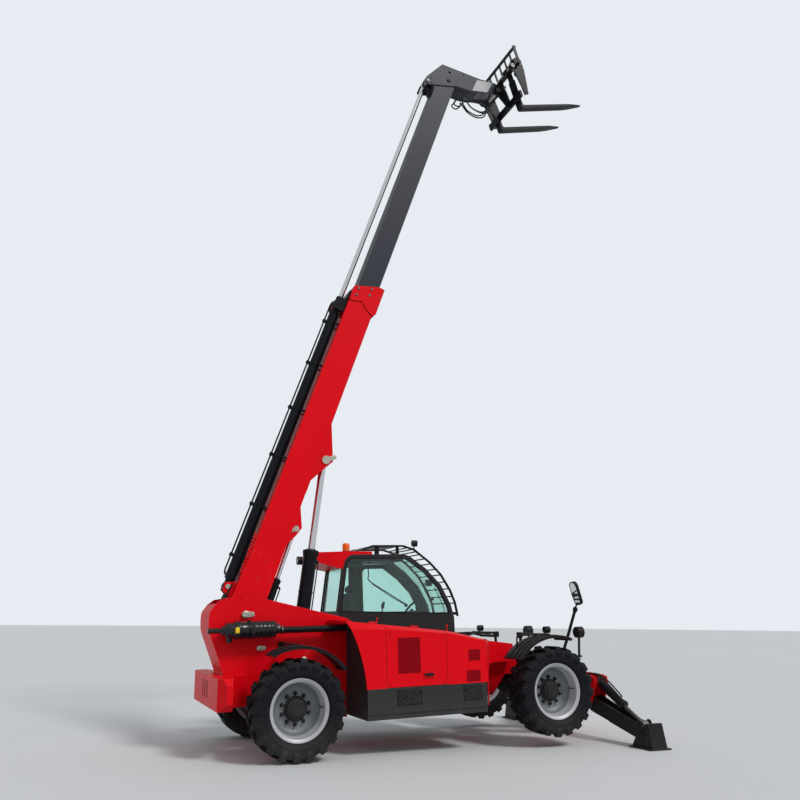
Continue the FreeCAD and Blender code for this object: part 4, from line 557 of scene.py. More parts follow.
PREFIX_FINISH = (("tyre_", "tyre_rubber"), ("rim_", "silver_paint"), ("knuckle_", "cast_iron"),
                 ("stabiliser_leg", "black_paint"), ("stabiliser_foot", "black_paint"),
                 ("stabiliser_ram_barrel", "black_paint"), ("stabiliser_ram_rod", "dark_zinc"))


def finish_nodes():
    """Gives every carried-over node its finish."""
    for name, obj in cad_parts.items():
        chosen = NODE_FINISH.get(name) or next(f for p, f in PREFIX_FINISH if name.startswith(p))
        obj.data.materials.clear()
        obj.data.materials.append(FINISHES[chosen])


# Stage

# Where the photographer stands, in metres, and how the camera is turned, in degrees
CAMERA_PLACE = (-4.418, -9.82, 1.485)
CAMERA_HEADING = -22.59
CAMERA_ROLL = 0.44
FLOOR_STEPS = 48


def make_camera(settings):
    """The photographer's place: low, to the right and behind the machine."""
    data = bpy.data.cameras.new("photo_camera")
    data.lens = settings.lens
    data.sensor_width = 36.0
    data.clip_end = 400.0
    camera = bpy.data.objects.new("photo_camera", data)
    bpy.context.scene.collection.objects.link(camera)
    turn = (Matrix.Rotation(math.radians(CAMERA_HEADING), 4, "Z")
            @ Matrix.Rotation(math.radians(90 + settings.pitch), 4, "X")
            @ Matrix.Rotation(math.radians(CAMERA_ROLL), 4, "Z"))
    camera.matrix_world = Matrix.Translation(Vector(CAMERA_PLACE)) @ turn
    bpy.context.scene.camera = camera


def make_stage(settings):
    """Pale floor, soft light from all sides and one broad lamp."""
    bm = bmesh.new()
    rings = []
    for radius in (0.0, 6.0, 20.0, 60.0, 160.0):
        rings.append([bm.verts.new((radius * math.cos(t), radius * math.sin(t), 0))
                      for t in (2 * math.pi * k / FLOOR_STEPS for k in range(FLOOR_STEPS))] if radius else
                     [bm.verts.new((0, 0, 0))])
    for low, high in zip(rings, rings[1:]):
        for k in range(FLOOR_STEPS):
            n = (k + 1) % FLOOR_STEPS
            bm.faces.new((low[0], high[k], high[n]) if len(low) == 1 else (low[k], high[k], high[n], low[n]))
    mesh = bpy.data.meshes.new("floor")
    bm.to_mesh(mesh)
    bm.free()
    floor = bpy.data.objects.new("floor", mesh)
    bpy.context.scene.collection.objects.link(floor)
    material = bpy.data.materials.new("pale_floor")
    material.use_nodes = True
    tree = material.node_tree
    shader = tree.nodes["Principled BSDF"]
    shade = placed_group(tree, "broken_colour", Colour=(*settings.floor, 1), Spread=0.02, Scale=0.4)
    tree.links.new(shade.outputs["Colour"], shader.inputs["Base Color"])
    shader.inputs["Roughness"].default_value = 0.8
    mesh.materials.append(material)
    world = bpy.data.worlds.new("studio_air")
    world.use_nodes = True
    bpy.context.scene.world = world
    tree = world.node_tree
    tree.nodes.clear()
    lit, seen = tree.nodes.new("ShaderNodeBackground"), tree.nodes.new("ShaderNodeBackground")
    lit.inputs["Color"].default_value = (0.96, 0.98, 1.0, 1)
    lit.inputs["Strength"].default_value = settings.sky
    seen.inputs["Color"].default_value = (0.80, 0.84, 0.89, 1)
    seen.inputs["Strength"].default_value = 1.0
    path = tree.nodes.new("ShaderNodeLightPath")
    direct = math_node(tree, "MAXIMUM", path.outputs["Is Camera Ray"], path.outputs["Is Transmission Ray"])
    blend = tree.nodes.new("ShaderNodeMixShader")
    tree.links.new(direct, blend.inputs[0])
    tree.links.new(lit.outputs[0], blend.inputs[1])
    tree.links.new(seen.outputs[0], blend.inputs[2])
    leave = tree.nodes.new("ShaderNodeOutputWorld")
    tree.links.new(blend.outputs[0], leave.inputs[0])
    lamp = bpy.data.lights.new("broad_lamp", "SUN")
    lamp.energy = settings.lamp
    lamp.angle = math.radians(14)
    lamp.color = (1.0, 0.98, 0.95)
    obj = bpy.data.objects.new("broad_lamp", lamp)
    bpy.context.scene.collection.objects.link(obj)
    obj.rotation_euler = (-Vector((0.36, -0.66, 0.80))).to_track_quat("-Z", "Y").to_euler()
    bpy.context.scene.view_settings.view_transform = "Standard"


# Wheels

def tyre_lug(bm, centre, side, index, row, wheels):
    """One slanted tread lug with sloping flanks, from the middle of the tread round the shoulder."""
    radius, half = wheels.tyre_radius, wheels.tyre_width / 2
    step = 2 * math.pi / wheels.lugs
    base = radius - wheels.lug_height - 0.012
    middle = step * (index + 0.25 * row)
    width = 0.40 * step
    stations = ((0.008, 0.00, 1.0, radius - 0.001, 0.85), (0.055, 0.05, 1.0, radius, 0.9),
                (0.100, 0.26, 0.95, radius, 0.95),
                (half - 0.040, 0.36, 1.1, radius - 0.001, 1.0), (half - 0.012, 0.38, 1.2, radius - 0.014, 1.0),
                (half + 0.001, 0.38, 1.2, radius - 0.060, 1.0), (half + 0.002, 0.38, 1.15, radius - 0.098, 0.95))
    rings = []
    for across_tread, lead, spread, top, grow in stations:
        y = row * across_tread
        mid = middle + step * lead
        ring = []
        for r, w in ((base if top > base + 0.02 else top - 0.02, 1.25), (top, grow)):
            for s in (-1, 1):
                t = mid + s * width * spread * w * 0.5
                ring.append(bm.verts.new(centre + Vector((r * math.sin(t), y, r * math.cos(t)))))
        rings.append(ring)
    for low, high in zip(rings, rings[1:]):
        for a, b in ((0, 1), (1, 3), (3, 2), (2, 0)):
            bm.faces.new((low[a], low[b], high[b], high[a]))
    bm.faces.new([rings[0][k] for k in (0, 2, 3, 1)])
    bm.faces.new([rings[-1][k] for k in (0, 1, 3, 2)])


def make_wheel(corner, x, side, wheels):
    """Tyre, rim, hub and nuts of one corner."""
    centre = on_chassis(x, side * TRACK_Y, AXLE_HEIGHT)
    body = "wheel_" + corner
    outward = Vector((0, side, 0))
    half = wheels.tyre_width * 500
    radius = wheels.tyre_radius * 1000
    tread = radius - wheels.lug_height * 1000
    bm = bmesh.new()
    profile = []
    for s in (-1, 1):
        run = [(145, 305), (148, 328), (166, 338), (184, 352), (half - 6, 372), (half - 2, 388), (half - 1, 396),
               (half - 5, 399), (half - 1, 403), (half, 420), (half - 1, 436), (half - 6, 462), (half - 12, 484),
               (half - 34, tread - 2), (half - 60, tread)]
        run = [(s * a, r) for a, r in run]
        profile += run if s < 0 else run[::-1]
    turned(bm, centre, LEFT, profile + [profile[0]], 96)
    for row in (-1, 1):
        for k in range(wheels.lugs):
            tyre_lug(bm, centre, side, k, row, wheels)
    tyre = piece("tyre_dress_" + corner, bm, "tyre_rubber", body, stands_for=("tyre_" + corner,))
    tyre.data.set_sharp_from_angle(angle=math.radians(28))

    bm = bmesh.new()
    o = 165.0
    rim = [(-o, 330), (-o + 4, 333), (-o + 10, 333), (-o + 15, 326), (-o + 20, 306), (-o + 100, 301), (-o + 130, 285),
           (-o + 215, 285), (-o + 240, 301), (o - 20, 306), (o - 15, 326), (o - 10, 333), (o - 4, 333), (o, 330),
           (o, 322), (o - 8, 318), (o - 20, 297), (o - 34, 293), (o - 92, 288), (o - 100, 280), (o - 122, 273),
           (-o + 128, 273), (-o + 104, 288), (-o + 20, 293), (-o + 6, 316), (-o, 322)]
    turned(bm, centre, -outward, rim + [rim[0]], 96)
    disc = o - 200.0
    dish = [(disc, 84), (disc, 214), (disc + 6, 226), (disc + 34, 262), (disc + 52, 270), (disc + 52, 276),
            (disc + 24, 276), (disc - 14, 236), (disc - 18, 226), (disc - 18, 84)]
    piece("rim_dress_" + corner, bm, "silver_paint", body, bevel=1.2,
          stands_for=("rim_" + corner,))
    # The dish is painted darker than the rim: painted shade
    bm = bmesh.new()
    turned(bm, centre, outward, dish + [dish[0]], 96)
    piece("rim_disc_" + corner, bm, "disc_painted_shade_grey", body, bevel=1.2)

    bm = bmesh.new()
    hub = [(disc - 30, 0), (disc - 30, 80), (disc - 2, 82), (disc + 1, 133), (disc + 16, 133), (disc + 19, 129),
           (disc + 22, 118), (disc + 26, 114), (disc + 54, 112), (disc + 60, 109), (disc + 70, 98), (disc + 72, 92),
           (disc + 74, 80), (disc + 84, 77), (disc + 88, 72), (disc + 88, 30), (disc + 91, 28), (disc + 91, 0)]
    turned(bm, centre, outward, hub, 64)
    lean = math.radians((LEFT_WHEELS_TURN if side > 0 else 0.0) - NOSE_UP)
    for k in range(10):
        t = 2 * math.pi * k / 10 + lean
        way = Vector((math.sin(t), 0, math.cos(t)))
        at = centre + outward * (disc / 1000) + way * 0.160
        hex_bolt(bm, at, outward, 33)
        turned(bm, at, outward, [(0, 0), (0, 11), (39, 11), (42, 8), (42, 0)], 12)
    for k in range(12):
        t = 2 * math.pi * (k + 0.5) / 12
        hex_bolt(bm, centre + outward * ((disc + 66) / 1000) + Vector((math.sin(t), 0, math.cos(t))) * 0.101,
                 outward, 13, washer=False)
    for t in (0.7, 0.7 + math.pi):
        way = Vector((math.sin(t), 0, math.cos(t)))
        turned(bm, centre + outward * ((disc + 86) / 1000) + way * 0.045, outward,
               [(0, 0), (0, 10), (7, 10), (7, 0)], 6)
    piece("hub_dress_" + corner, bm, "cast_iron", body, bevel=1.0)
    bm = bmesh.new()
    stem = [centre - outward * 0.03 + Vector((0.262, 0, 0.02)), centre + outward * 0.05 + Vector((0.268, 0, 0.02)),
            centre + outward * 0.112 + Vector((0.280, 0, 0.02))]
    swept(bm, bent_line(stem, 5), 5, 8)
    piece("valve_stem_" + corner, bm, "black_plastic", body)


def make_wheels(wheels):
    """All four wheels."""
    for corner, x, side in CORNERS:
        make_wheel(corner, x, side, wheels)


# Boom

COLLAR_BOLTS = ((4705, 113), (4785, -69), (4597, 109), (4683, -70))


def strip(bm, points, width, y0, y1, place):
    """A narrow band of plate along a line of (a, b) points."""
    for (a0, b0), (a1, b1) in zip(points, points[1:]):
        size = math.hypot(a1 - a0, b1 - b0)
        da, db = (a1 - a0) / size, (b1 - b0) / size
        na, nb = -db * width / 2, da * width / 2
        ea, eb = da * width * 0.3, db * width * 0.3
        prism(bm, [(a0 - ea - na, b0 - eb - nb), (a1 + ea - na, b1 + eb - nb), (a1 + ea + na, b1 + eb + nb),
                   (a0 - ea + na, b0 - eb + nb)], y0, y1, place)


def make_boom_trim(boom):
    """Collar bolts, the seam with its painted shadow, weld beads, service pipes and their clamps on the outer boom.
    """
    bm = bmesh.new()
    for s in (-1, 1):
        for u, v in COLLAR_BOLTS:
            hex_bolt(bm, on_boom(u, s * 197, v), LEFT * s, 28)
        for u, v in ((4560, -228), (4700, -228), (4830, -228)):
            hex_bolt(bm, on_boom(u, s * 197, v), LEFT * s, 14)
    for u in (4530, 4600, 4690):
        for y in (-70, 0, 70):
            hex_bolt(bm, on_boom(u, y, 182), BOOM_UP, 20)
            hex_bolt(bm, on_boom(u, y, -252), -BOOM_UP, 20)
    piece("collar_bolts", bm, "dark_zinc", "boom")
    # Black strip along the collar's lower outline: the seam and the painted shadow under the thicker collar plate
    bm = bmesh.new()
    for s in (-1, 1):
        y0, y1 = sorted((s * 184.0, s * 187.5))
        strip(bm, [(4400, -226), (4437, -130), (4538, 4), (4484, 136), (4493, 180)], 8, y0, y1, on_boom)
    piece("collar_seam_shadow", bm, "black_plastic", "boom")
    bm = bmesh.new()
    for s in (-1, 1):
        for v in (177, -203):
            line = [on_boom(u, s * 186, v) for u in range(780 if v > 0 else 1660, 4400, 40)]
            swept(bm, line, 5, 6)
        tongue = [(60, 198), (660, 174), (728, 164), (752, 130), (742, 84), (716, 10), (640, -80), (400, -206)]
        swept(bm, bent_line([on_boom(u, s * 190, v) for u, v in tongue], 5), 4, 6)
    piece("boom_weld_beads", bm, "red_paint", "boom")
    bm = bmesh.new()
    back = boom.pipe_radius * 1000
    run = [on_boom(400, 0, 336), on_boom(404, 0, 362), on_boom(440, 0, 374), on_boom(520, 0, 374)]
    run += [on_boom(u, 0, 374) for u in range(700, 4260, 200)]
    run += [on_boom(4330, 0, 374), on_boom(4390, 0, 370), on_boom(4416, 0, 345)]
    swept(bm, bent_line(run, 4), back, 12)
    for s in (-1, 1):
        run = [on_boom(330, s * 95, 235)] + [on_boom(u, s * 95, 222) for u in range(480, 4200, 300)]
        run += [on_boom(4240, s * 92, 226), on_boom(4290, s * 88, 262)]
        swept(bm, bent_line(run, 4), back * 0.8, 10)
    piece("boom_pipes", bm, "hose_rubber", "boom")
    bm = bmesh.new()
    for u in (620, 1300, 2000, 2700, 3400, 4080):
        turned(bm, on_boom(u, 0, 275), BOOM_AHEAD,
               [(0, 71), (0, 76), (36, 76), (36, 71), (0, 71)], 40)
        prism(bm, [(u - 4, 344), (u + 40, 344), (u + 40, 394), (u - 4, 394)], -20, 20, on_boom)
        hex_bolt(bm, on_boom(u + 18, 0, 393), BOOM_UP, 12)
        for s in (-1, 1):
            side_plate(bm, [(u, 208), (u + 36, 208), (u + 36, 238), (u, 238)], s, 74, 112)
            side_plate(bm, [(u + 8, 178), (u + 28, 178), (u + 28, 212), (u + 8, 212)], s, 60, 92)
    piece("pipe_clamps", bm, "black_paint", "boom", bevel=2)
    bm = bmesh.new()
    for k in range(12):
        u = 470 + 42 * k
        for s in (-1, 1):
            side_plate(bm, [(u, 184), (u + 22, 184), (u + 22, 206), (u, 206)], s, 150, 172)
    for s in (-1, 1):
        side_plate(bm, [(440, 204), (980, 204), (980, 214), (440, 214)], s, 150, 160)
    piece("hose_ladder", bm, "red_paint", "boom", bevel=1.5)
    bm = bmesh.new()
    for u, v, r in ((400, 341, 26), (4416, 349, 22)):
        turned(bm, on_boom(u, 0, v), BOOM_UP,
               [(-8, 0), (-8, r), (8, r), (12, r * 0.8), (24, r * 0.7), (24, 0)], 20)
    piece("boom_ports", bm, "dark_zinc", "boom", bevel=1)
    bm = bmesh.new()
    for s in (-1, 1):
        side_plate(bm, [(4300, 184), (4300, 330), (4330, 352), (4470, 352), (4500, 330), (4500, 184)], s, 104, 118)
        hex_bolt(bm, on_boom(4330, s * 118, 230), LEFT * s, 16)
        hex_bolt(bm, on_boom(4470, s * 118, 230), LEFT * s, 16)
    prism(bm, [(4520, 184), (4520, 214), (4640, 214), (4652, 184)], -150, 150, on_boom)
    piece("ram_mouth_guard", bm, "black_paint", "boom", bevel=2)


# Cylinders

def make_gland(bm, mouth, way, radius, rod, collar=1.18):
    """Slotted gland nut, wiper ring and grease groove at a barrel's mouth."""
    band = radius * collar
    turned(bm, mouth, way, [(-0.55 * radius, band - 2), (-0.5 * radius, band), (-0.1 * radius, band),
                            (-0.02 * radius, band - 3), (2, radius * 1.0), (9, rod * 1.5), (16, rod * 1.35),
                            (18, rod * 1.08), (18, rod + 1), (-0.55 * radius, rod + 1),
                            (-0.55 * radius, band - 2)], 36)
    side, up = cross_axes(way)
    for k in range(8):
        t = 2 * math.pi * k / 8
        spot = mouth + (side * math.cos(t) + up * math.sin(t)) * ((band - 1) / 1000)
        turned(bm, spot - way.normalized() * (radius * 0.42 / 1000), way,
               [(0, 0), (0, 5), (0.3 * radius, 5), (0.3 * radius, 0)], 8)


def make_cylinder_dress(name, base, eye, y, barrel, radius, rod, body, place, collar=1.18, rise=24, piped=True):
    """Gland, ports, pipe along the barrel and its clips of one cylinder."""
    p, q = place(base, y), place(eye, y)
    way = (q - p).normalized()
    cross = cross_axes(way)
    out = cross[1] if abs(cross[1].y) < abs(cross[0].y) else cross[0]
    mouth = p + way * (barrel / 1000)
    bm = bmesh.new()
    make_gland(bm, mouth, way, radius, rod, collar)
    for along in (0.16, 0.9) if piped else ():
        at = p + way * (barrel * along / 1000) + out * ((radius - 4) / 1000)
        turned(bm, at, out, [(0, 0), (0, radius * 0.34), (rise * 0.5, radius * 0.34), (rise * 0.6, radius * 0.26),
                             (rise + 4, radius * 0.24), (rise + 4, 0)], 20)
    piece(name + "_gland", bm, "black_paint", body, bevel=1)
    if not piped:
        return
    bm = bmesh.new()
    top = radius + rise
    run = [(0.9, radius + 8), (0.9, top), (0.86, top + 2), (0.6, top), (0.3, top), (0.2, top + 2), (0.12, top)]
    swept(bm, bent_line([p + way * (barrel * a / 1000) + out * (h / 1000) for a, h in run], 6), rise / 3, 10)
    piece(name + "_pipe", bm, "hose_rubber", body)
    bm = bmesh.new()
    for a in (0.3, 0.6):
        at = p + way * (barrel * a / 1000)
        turned(bm, at, way, [(0, radius + 0.5), (0, radius + 4), (22, radius + 4), (22, radius + 0.5),
                             (0, radius + 0.5)], 36)
        clip = at + out * ((radius + rise - 14) / 1000) + way * 0.011
        hex_bolt(bm, clip + cross_axes(way)[0] * 0.014, out, 9)
    piece(name + "_clips", bm, "black_paint", body)


def make_cylinders():
    """Fine pieces of the lift, compensation, tilt and stabiliser cylinders."""
    make_cylinder_dress("lift_cylinder", LIFT_BASE, boom_point(LIFT_EYE), 0, 1340, 88, 46, "lift_barrel",
                        chassis_spot)
    make_cylinder_dress("comp_cylinder", COMP_BASE, boom_point(COMP_EYE), 0, 850, 50, 26, "comp_barrel",
                        chassis_spot, collar=1.06)
    make_cylinder_dress("tilt_cylinder", boom_point(TILT_BASE), fork_point(TILT_EYE), 0, 640, 48, 27,
                        "tilt_barrel", chassis_spot, rise=14)
    for name, s in (("right", 1), ("left", -1)):
        make_cylinder_dress("ram_" + name, (-s * RAM_BASE[0], RAM_BASE[1]),
                            (-s * RAM_EYE[0], RAM_EYE[1]), LEG_X, 560, 54, 25,
                            "ram_" + name + "_barrel", leg_spot, piped=False)


# Boom head and carriage

def make_head_trim():
    """Hose loops under the head, their fittings, pin caps and the light grey plates of painted highlight at its lower
    end.
    """
    bm = bmesh.new()
    loops = (((8898, -300), (8818, -312), (8729, -282), (8697, -326), (8717, -380), (8790, -415), (8860, -426)),
             ((8910, -448), (8880, -480), (8822, -575), (8826, -728), (8876, -810), (8940, -853), (9018, -863)),
             ((8898, -410), (8866, -470), (8803, -590), (8805, -742), (8862, -846), (8930, -884), (9018, -893)))
    ends = []
    for k, loop in enumerate(loops):
        for s in (-1, 1):
            y = s * (38 + 16 * k)
            line = bent_line([on_boom(u, y, v) for u, v in loop], 8)
            swept(bm, line, 11, 12)
            ends += [(line[0], line[1] - line[0]), (line[-1], line[-2] - line[-1])]
    piece("head_hoses", bm, "hose_rubber", "boom_inner")
    bm = bmesh.new()
    for at, way in ends:
        turned(bm, at, way, [(-6, 0), (-6, 15), (16, 15), (18, 13), (44, 12.5), (46, 11.5), (46, 0)], 6)
    piece("hose_fittings", bm, "dark_zinc", "boom_inner")
    for name, finish, spots in (("head_pin_caps", "dark_zinc", ((9319, -893, 205, 44), (8740, 275, 163, 30))),
                                ("tilt_base_caps", "black_paint", ((8980, -50, 163, 34),))):
        bm = bmesh.new()
        for s in (-1, 1):
            for u, v, reach, r in spots:
                at = on_boom(u, s * reach, v)
                turned(bm, at, LEFT * s,
                       [(-4, 0), (-4, r), (4, r), (7, r - 3), (7, r * 0.42), (3, r * 0.36), (3, 0)], 28)
                hex_bolt(bm, at + LEFT * (s * 0.003), LEFT * s, 18)
        piece(name, bm, finish, "boom_inner")
    # Light grey plates on the head's bent tips: a painted highlight
    bm = bmesh.new()
    for s in (-1, 1):
        side_plate(bm, [(9301, -495), (9427, -768), (9179, -731), (9052, -478)], s, 155.3, 158.3)
    piece("head_painted_highlight_plate", bm, "light_grey_paint", "boom_inner", bevel=1.5)
    bm = bmesh.new()
    turned(bm, on_boom(9130, -154, -13), LEFT, [(0, 20), (0, 23.6), (308, 23.6), (308, 20), (0, 20)], 28)
    turned(bm, on_boom(9130, -60, -13), LEFT, [(0, 0), (0, 22), (120, 22), (120, 0)], 28)
    piece("lashing_tube", bm, "black_paint", "boom_inner")
    bm = bmesh.new()
    for s in (-1, 1):
        edge = [(8945, -190), (9025, -470), (9133, -641), (9262, -955)]
        swept(bm, bent_line([on_boom(u + 6, s * 155.5, v) for u, v in edge], 4), 3.5, 6)
        swept(bm, [on_boom(u, s * 155.5, v) for u, v in ((8806, 314), (9196, 148), (9349, -536))], 3.5, 6)
        for u, v in ((8745, 210), (8840, 232), (9150, 100), (9250, -250)):
            hex_bolt(bm, on_boom(u, s * 155.3, v), LEFT * s, 15)
    piece("head_weld_beads", bm, "boom_grey_paint", "boom_inner")


def make_carriage_trim():
    """Shaft caps, locking pins, gussets and wear pads of the fork carriage."""
    bm = bmesh.new()
    for s in (-1, 1):
        for f, n, r in ((161, 225, 40), (330, 262, 22), (322, 350, 18)):
            at = on_fork(f, s * (538 if r > 30 else 520), n)
            turned(bm, at, LEFT * s,
                   [(-2, 0), (-2, r), (9, r), (12, r - 3), (12, r * 0.5), (8, r * 0.42), (8, 0)], 28)
        for f, n in ((214, 330), (352, 180), (300, -240)):
            hex_bolt(bm, on_fork(f, s * 520, n), LEFT * s, 20)
    piece("carriage_studs", bm, "dark_zinc", "carriage")
    bm = bmesh.new()
    for y in (-460, -330, -200, 200, 330, 460):
        prism(bm, [(184, -300), (184, -236), (198, -244), (198, -292)], y - 14, y + 14, on_fork)
    for s in (-1, 1):
        prism(bm, [(240, 236), (262, 236), (262, 560), (250, 572), (240, 540)], s * 590 - 8, s * 590 + 8, on_fork)
        prism(bm, [(205, 60), (262, 240), (262, 276), (190, 110)], s * 470 - 7, s * 470 + 7, on_fork)
        round_bar(bm, on_fork(161, s * 400, 262), on_fork(161, s * 400, 300), 11)
        round_bar(bm, on_fork(161, s * 384, 300), on_fork(161, s * 416, 300), 7)
    piece("carriage_gussets", bm, "black_paint", "carriage", bevel=2)
    bm = bmesh.new()
    for s in (-1, 1):
        prism(bm, [(188, -100), (200, -100), (200, 20), (188, 20)], s * 330 - 46, s * 330 + 46, on_fork)
        for edge in (-46, 46):
            swept(bm, [on_fork(240, s * 330 + edge, n) for n in (-370, -240, -100, 40)], 3, 6)
    piece("fork_wear_pads", bm, "cast_iron", "carriage")


# Engine side

# Openings as (x0, x1, z0, z1) and the plane of the dark sheets behind their wires, which are painted shade of the bay
# behind
HOOD_VENTS = ((1197, 1470, 850, 1235),)
SIDE_VENTS = ((2120, 2262, 952, 1068), (2085, 2258, 715, 830))
VENT_BACK_Y = -1080.2


def make_hood_trim():
    """Wire screens in the vents with sheets of painted shade behind them, latch handle, pins and bolts of the engine
    side.
    """
    # The vent wires take the darker copy of the red: painted shade of the dark bay seen through them
    for name, body, openings in (("hood_screen", "hood", HOOD_VENTS), ("side_screens", "chassis", SIDE_VENTS)):
        bm = bmesh.new()
        for x0, x1, z0, z1 in openings:
            wire_screen(bm, x0, x1, z0, z1, -1081.2)
        piece(name, bm, "painted_shade_red", body)
    # Dark red sheets behind the wires: painted shade where the bay behind the screens lies in shadow
    for name, body, openings in (("hood_screen_painted_shade", "hood", HOOD_VENTS),
                                 ("side_screens_painted_shade", "chassis", SIDE_VENTS)):
        bm = bmesh.new()
        for x0, x1, z0, z1 in openings:
            block(bm, x0 + 2, x1 - 2, VENT_BACK_Y - 1.4, VENT_BACK_Y, z0 + 2, z1 - 2)
        piece(name, bm, "screen_shadow", body)
    bm = bmesh.new()
    for x0, x1 in ((1185, 1475), (2040, 2265)):
        # Black sheet behind the skirt wires: painted shade of the recess behind them
        block(bm, x0 + 2, x1 - 2, -1080.6, -1079.6, 510, 653)
        wire_screen(bm, x0, x1, 508, 655, -1080.6, 12.0)
        edge_ring(bm, [(x0, 508), (x1, 508), (x1, 655), (x0, 655)], 12, -1083.5, -1079)
    piece("skirt_screens", bm, "black_paint", "chassis")
    bm = bmesh.new()
    prism(bm, oval(1581, 817, 66, 33, power=6), -1088, -1079.5)
    prism(bm, [(1530, 800), (1632, 800), (1638, 816), (1632, 833), (1530, 833), (1524, 816)], -1104, -1087)
    turned(bm, on_chassis(1560, -1104, 816), RIGHT, [(-2, 0), (-2, 11), (4, 11), (5, 9), (5, 0)], 24)
    piece("hood_latch", bm, "black_plastic", "hood", bevel=2)
    bm = bmesh.new()
    for x in (1092, 1778):
        for z in (720, 1225 if x > 1500 else 1290):
            turned(bm, on_chassis(x, -1080, z), RIGHT, [(-2, 0), (-2, 9), (3, 9), (5, 6), (5, 0)], 20)
    piece("hood_buttons", bm, "painted_shade_red", "hood")
    bm = bmesh.new()
    for x, low, high in ((1213, 1412, 1467), (2188, 1284, 1353)):
        round_bar(bm, on_chassis(x, -360, low), on_chassis(x, -360, high), 7)
        turned(bm, on_chassis(x, -360, high - 10), UP,
               [(0, 0), (0, 12), (10, 12), (14, 8), (14, 0)], 16)
    piece("cover_pins", bm, "red_paint", "chassis")
    bm = bmesh.new()
    for x in (870, 1560, 1965, 2310):
        hex_bolt(bm, on_chassis(x, -1078, 664), RIGHT, 11)
        hex_bolt(bm, on_chassis(x, -1074, 452), RIGHT, 11)
    piece("skirt_bolts", bm, "dark_zinc", "chassis")


def make_air_cleaner():
    """Canister with its ribs, strap bracket, yellow latch, inlet and ribbed hose."""
    y, z = -450.0, 1375.0
    ahead = AHEAD.normalized()
    down = -UP.normalized()

    def spin_along(bm, profile, steps=48, z_at=z):
        start = on_chassis(0, y, z_at)
        turned(bm, start, ahead, profile, steps)

    def beside(x, y_at, above):
        return on_chassis(x, y_at, z + above)

    bm = bmesh.new()
    body = [(-905, 0), (-905, 26), (-900, 30), (-760, 30), (-748, 34), (-738, 52), (-706, 56), (-700, 78),
            (-692, 84), (-640, 86), (-636, 83), (-630, 83), (-626, 86), (-604, 87), (-600, 99), (-594, 103),
            (-566, 103), (-564, 100), (-558, 100), (-556, 103), (-526, 103), (-520, 98), (-512, 96)]
    for x in (-380, -330, -280, -230, -180):
        body += [(x, 96), (x + 5, 98.5), (x + 17, 98.5), (x + 22, 96)]
    body += [(-126, 96), (-114, 90), (-108, 56), (-106, 52), (-60, 52), (-60, 0)]
    spin_along(bm, body)
    start = on_chassis(-655, y, z - 50)
    turned(bm, start, down, [(0, 0), (0, 36), (58, 34), (64, 30), (68, 36), (82, 36), (90, 26), (90, 0)], 28)
    prism(bm, [(-460, 1325), (-400, 1325), (-400, 1425), (-460, 1425)], y, -316)
    piece("air_cleaner_dress", bm, "gloss_plastic", "chassis", bevel=1.5,
          stands_for=("air_cleaner",))
    bm = bmesh.new()
    ribs = []
    x = -70.0
    while x < 790:
        ribs += [(x, 34), (x + 5, 40), (x + 11, 40), (x + 16, 34)]
        x += 20
    spin_along(bm, [(-70, 0)] + ribs + [(798, 34), (798, 0)], 28, z - 14)
    piece("intake_hose", bm, "hose_rubber", "chassis")
    bm = bmesh.new()
    for a, r, zz in ((-88, 52.5, z), (-40, 41, z - 14), (770, 41, z - 14)):
        turned(bm, on_chassis(0, y, zz), ahead,
               [(a, r - 2), (a, r + 2), (a + 14, r + 2), (a + 14, r - 2), (a, r - 2)], 36)
        block(bm, a, a + 14, y - 12, y + 12, zz + r, zz + r + 12)
    piece("hose_bands", bm, "dark_zinc", "chassis")
    bm = bmesh.new()
    turned(bm, on_chassis(0, y, z), ahead, [(-450, 97), (-450, 100), (-410, 100), (-410, 97), (-450, 97)], 48)
    block(bm, -452, -408, y - 24, y + 24, z + 98, z + 112)
    turned(bm, on_chassis(-430, y - 12, z + 106), ahead.cross(down), [(-20, 0), (-20, 6), (20, 6), (20, 0)], 10)
    piece("air_cleaner_strap", bm, "black_paint", "chassis", bevel=1.5)
    bm = bmesh.new()
    prism(bm, [(-604, -30), (-560, -30), (-556, 24), (-608, 24)], y - 112, y - 98, beside)
    prism(bm, [(-600, -16), (-566, -16), (-562, 34), (-604, 34)], y - 118, y - 108, beside)
    piece("air_cleaner_latch", bm, "yellow_plastic", "chassis", bevel=3)


def edge_ring(bm, points, width, y0, y1, place=on_chassis):
    """A flat band that follows a closed outline on its outer side."""
    count = len(points)
    turn = 1 if sum(a[0] * b[1] - b[0] * a[1] for a, b in zip(points, points[1:] + points[:1])) > 0 else -1
    outer = []
    for k in range(count):
        (ax, az), (bx, bz), (cx, cz) = points[k - 1], points[k], points[(k + 1) % count]
        n1, n2 = Vector((bz - az, ax - bx)).normalized(), Vector((cz - bz, bx - cx)).normalized()
        mitre = n1 + n2
        mitre *= turn * width / max(mitre.length_squared / 2, 0.6)
        outer.append((bx + mitre.x, bz + mitre.y))
    rings = [[bm.verts.new(place(a, y, b)) for a, b in line] for line in (points, outer) for y in (y0, y1)]
    for low, high in ((0, 1), (1, 3), (3, 2), (2, 0)):
        for k in range(count):
            n = (k + 1) % count
            bm.faces.new((rings[low][k], rings[low][n], rings[high][n], rings[high][k]))


def oval(cx, cz, half_x, half_z, lean=0.0, power=2.6, steps=28):
    """Points of a rounded outline, leaned by an angle in degrees."""
    a = math.radians(lean)
    points = []
    for k in range(steps):
        t = 2 * math.pi * k / steps
        x = half_x * math.copysign(abs(math.cos(t)) ** (2 / power), math.cos(t))
        z = half_z * math.copysign(abs(math.sin(t)) ** (2 / power), math.sin(t))
        points.append((cx + x * math.cos(a) - z * math.sin(a), cz + x * math.sin(a) + z * math.cos(a)))
    return points


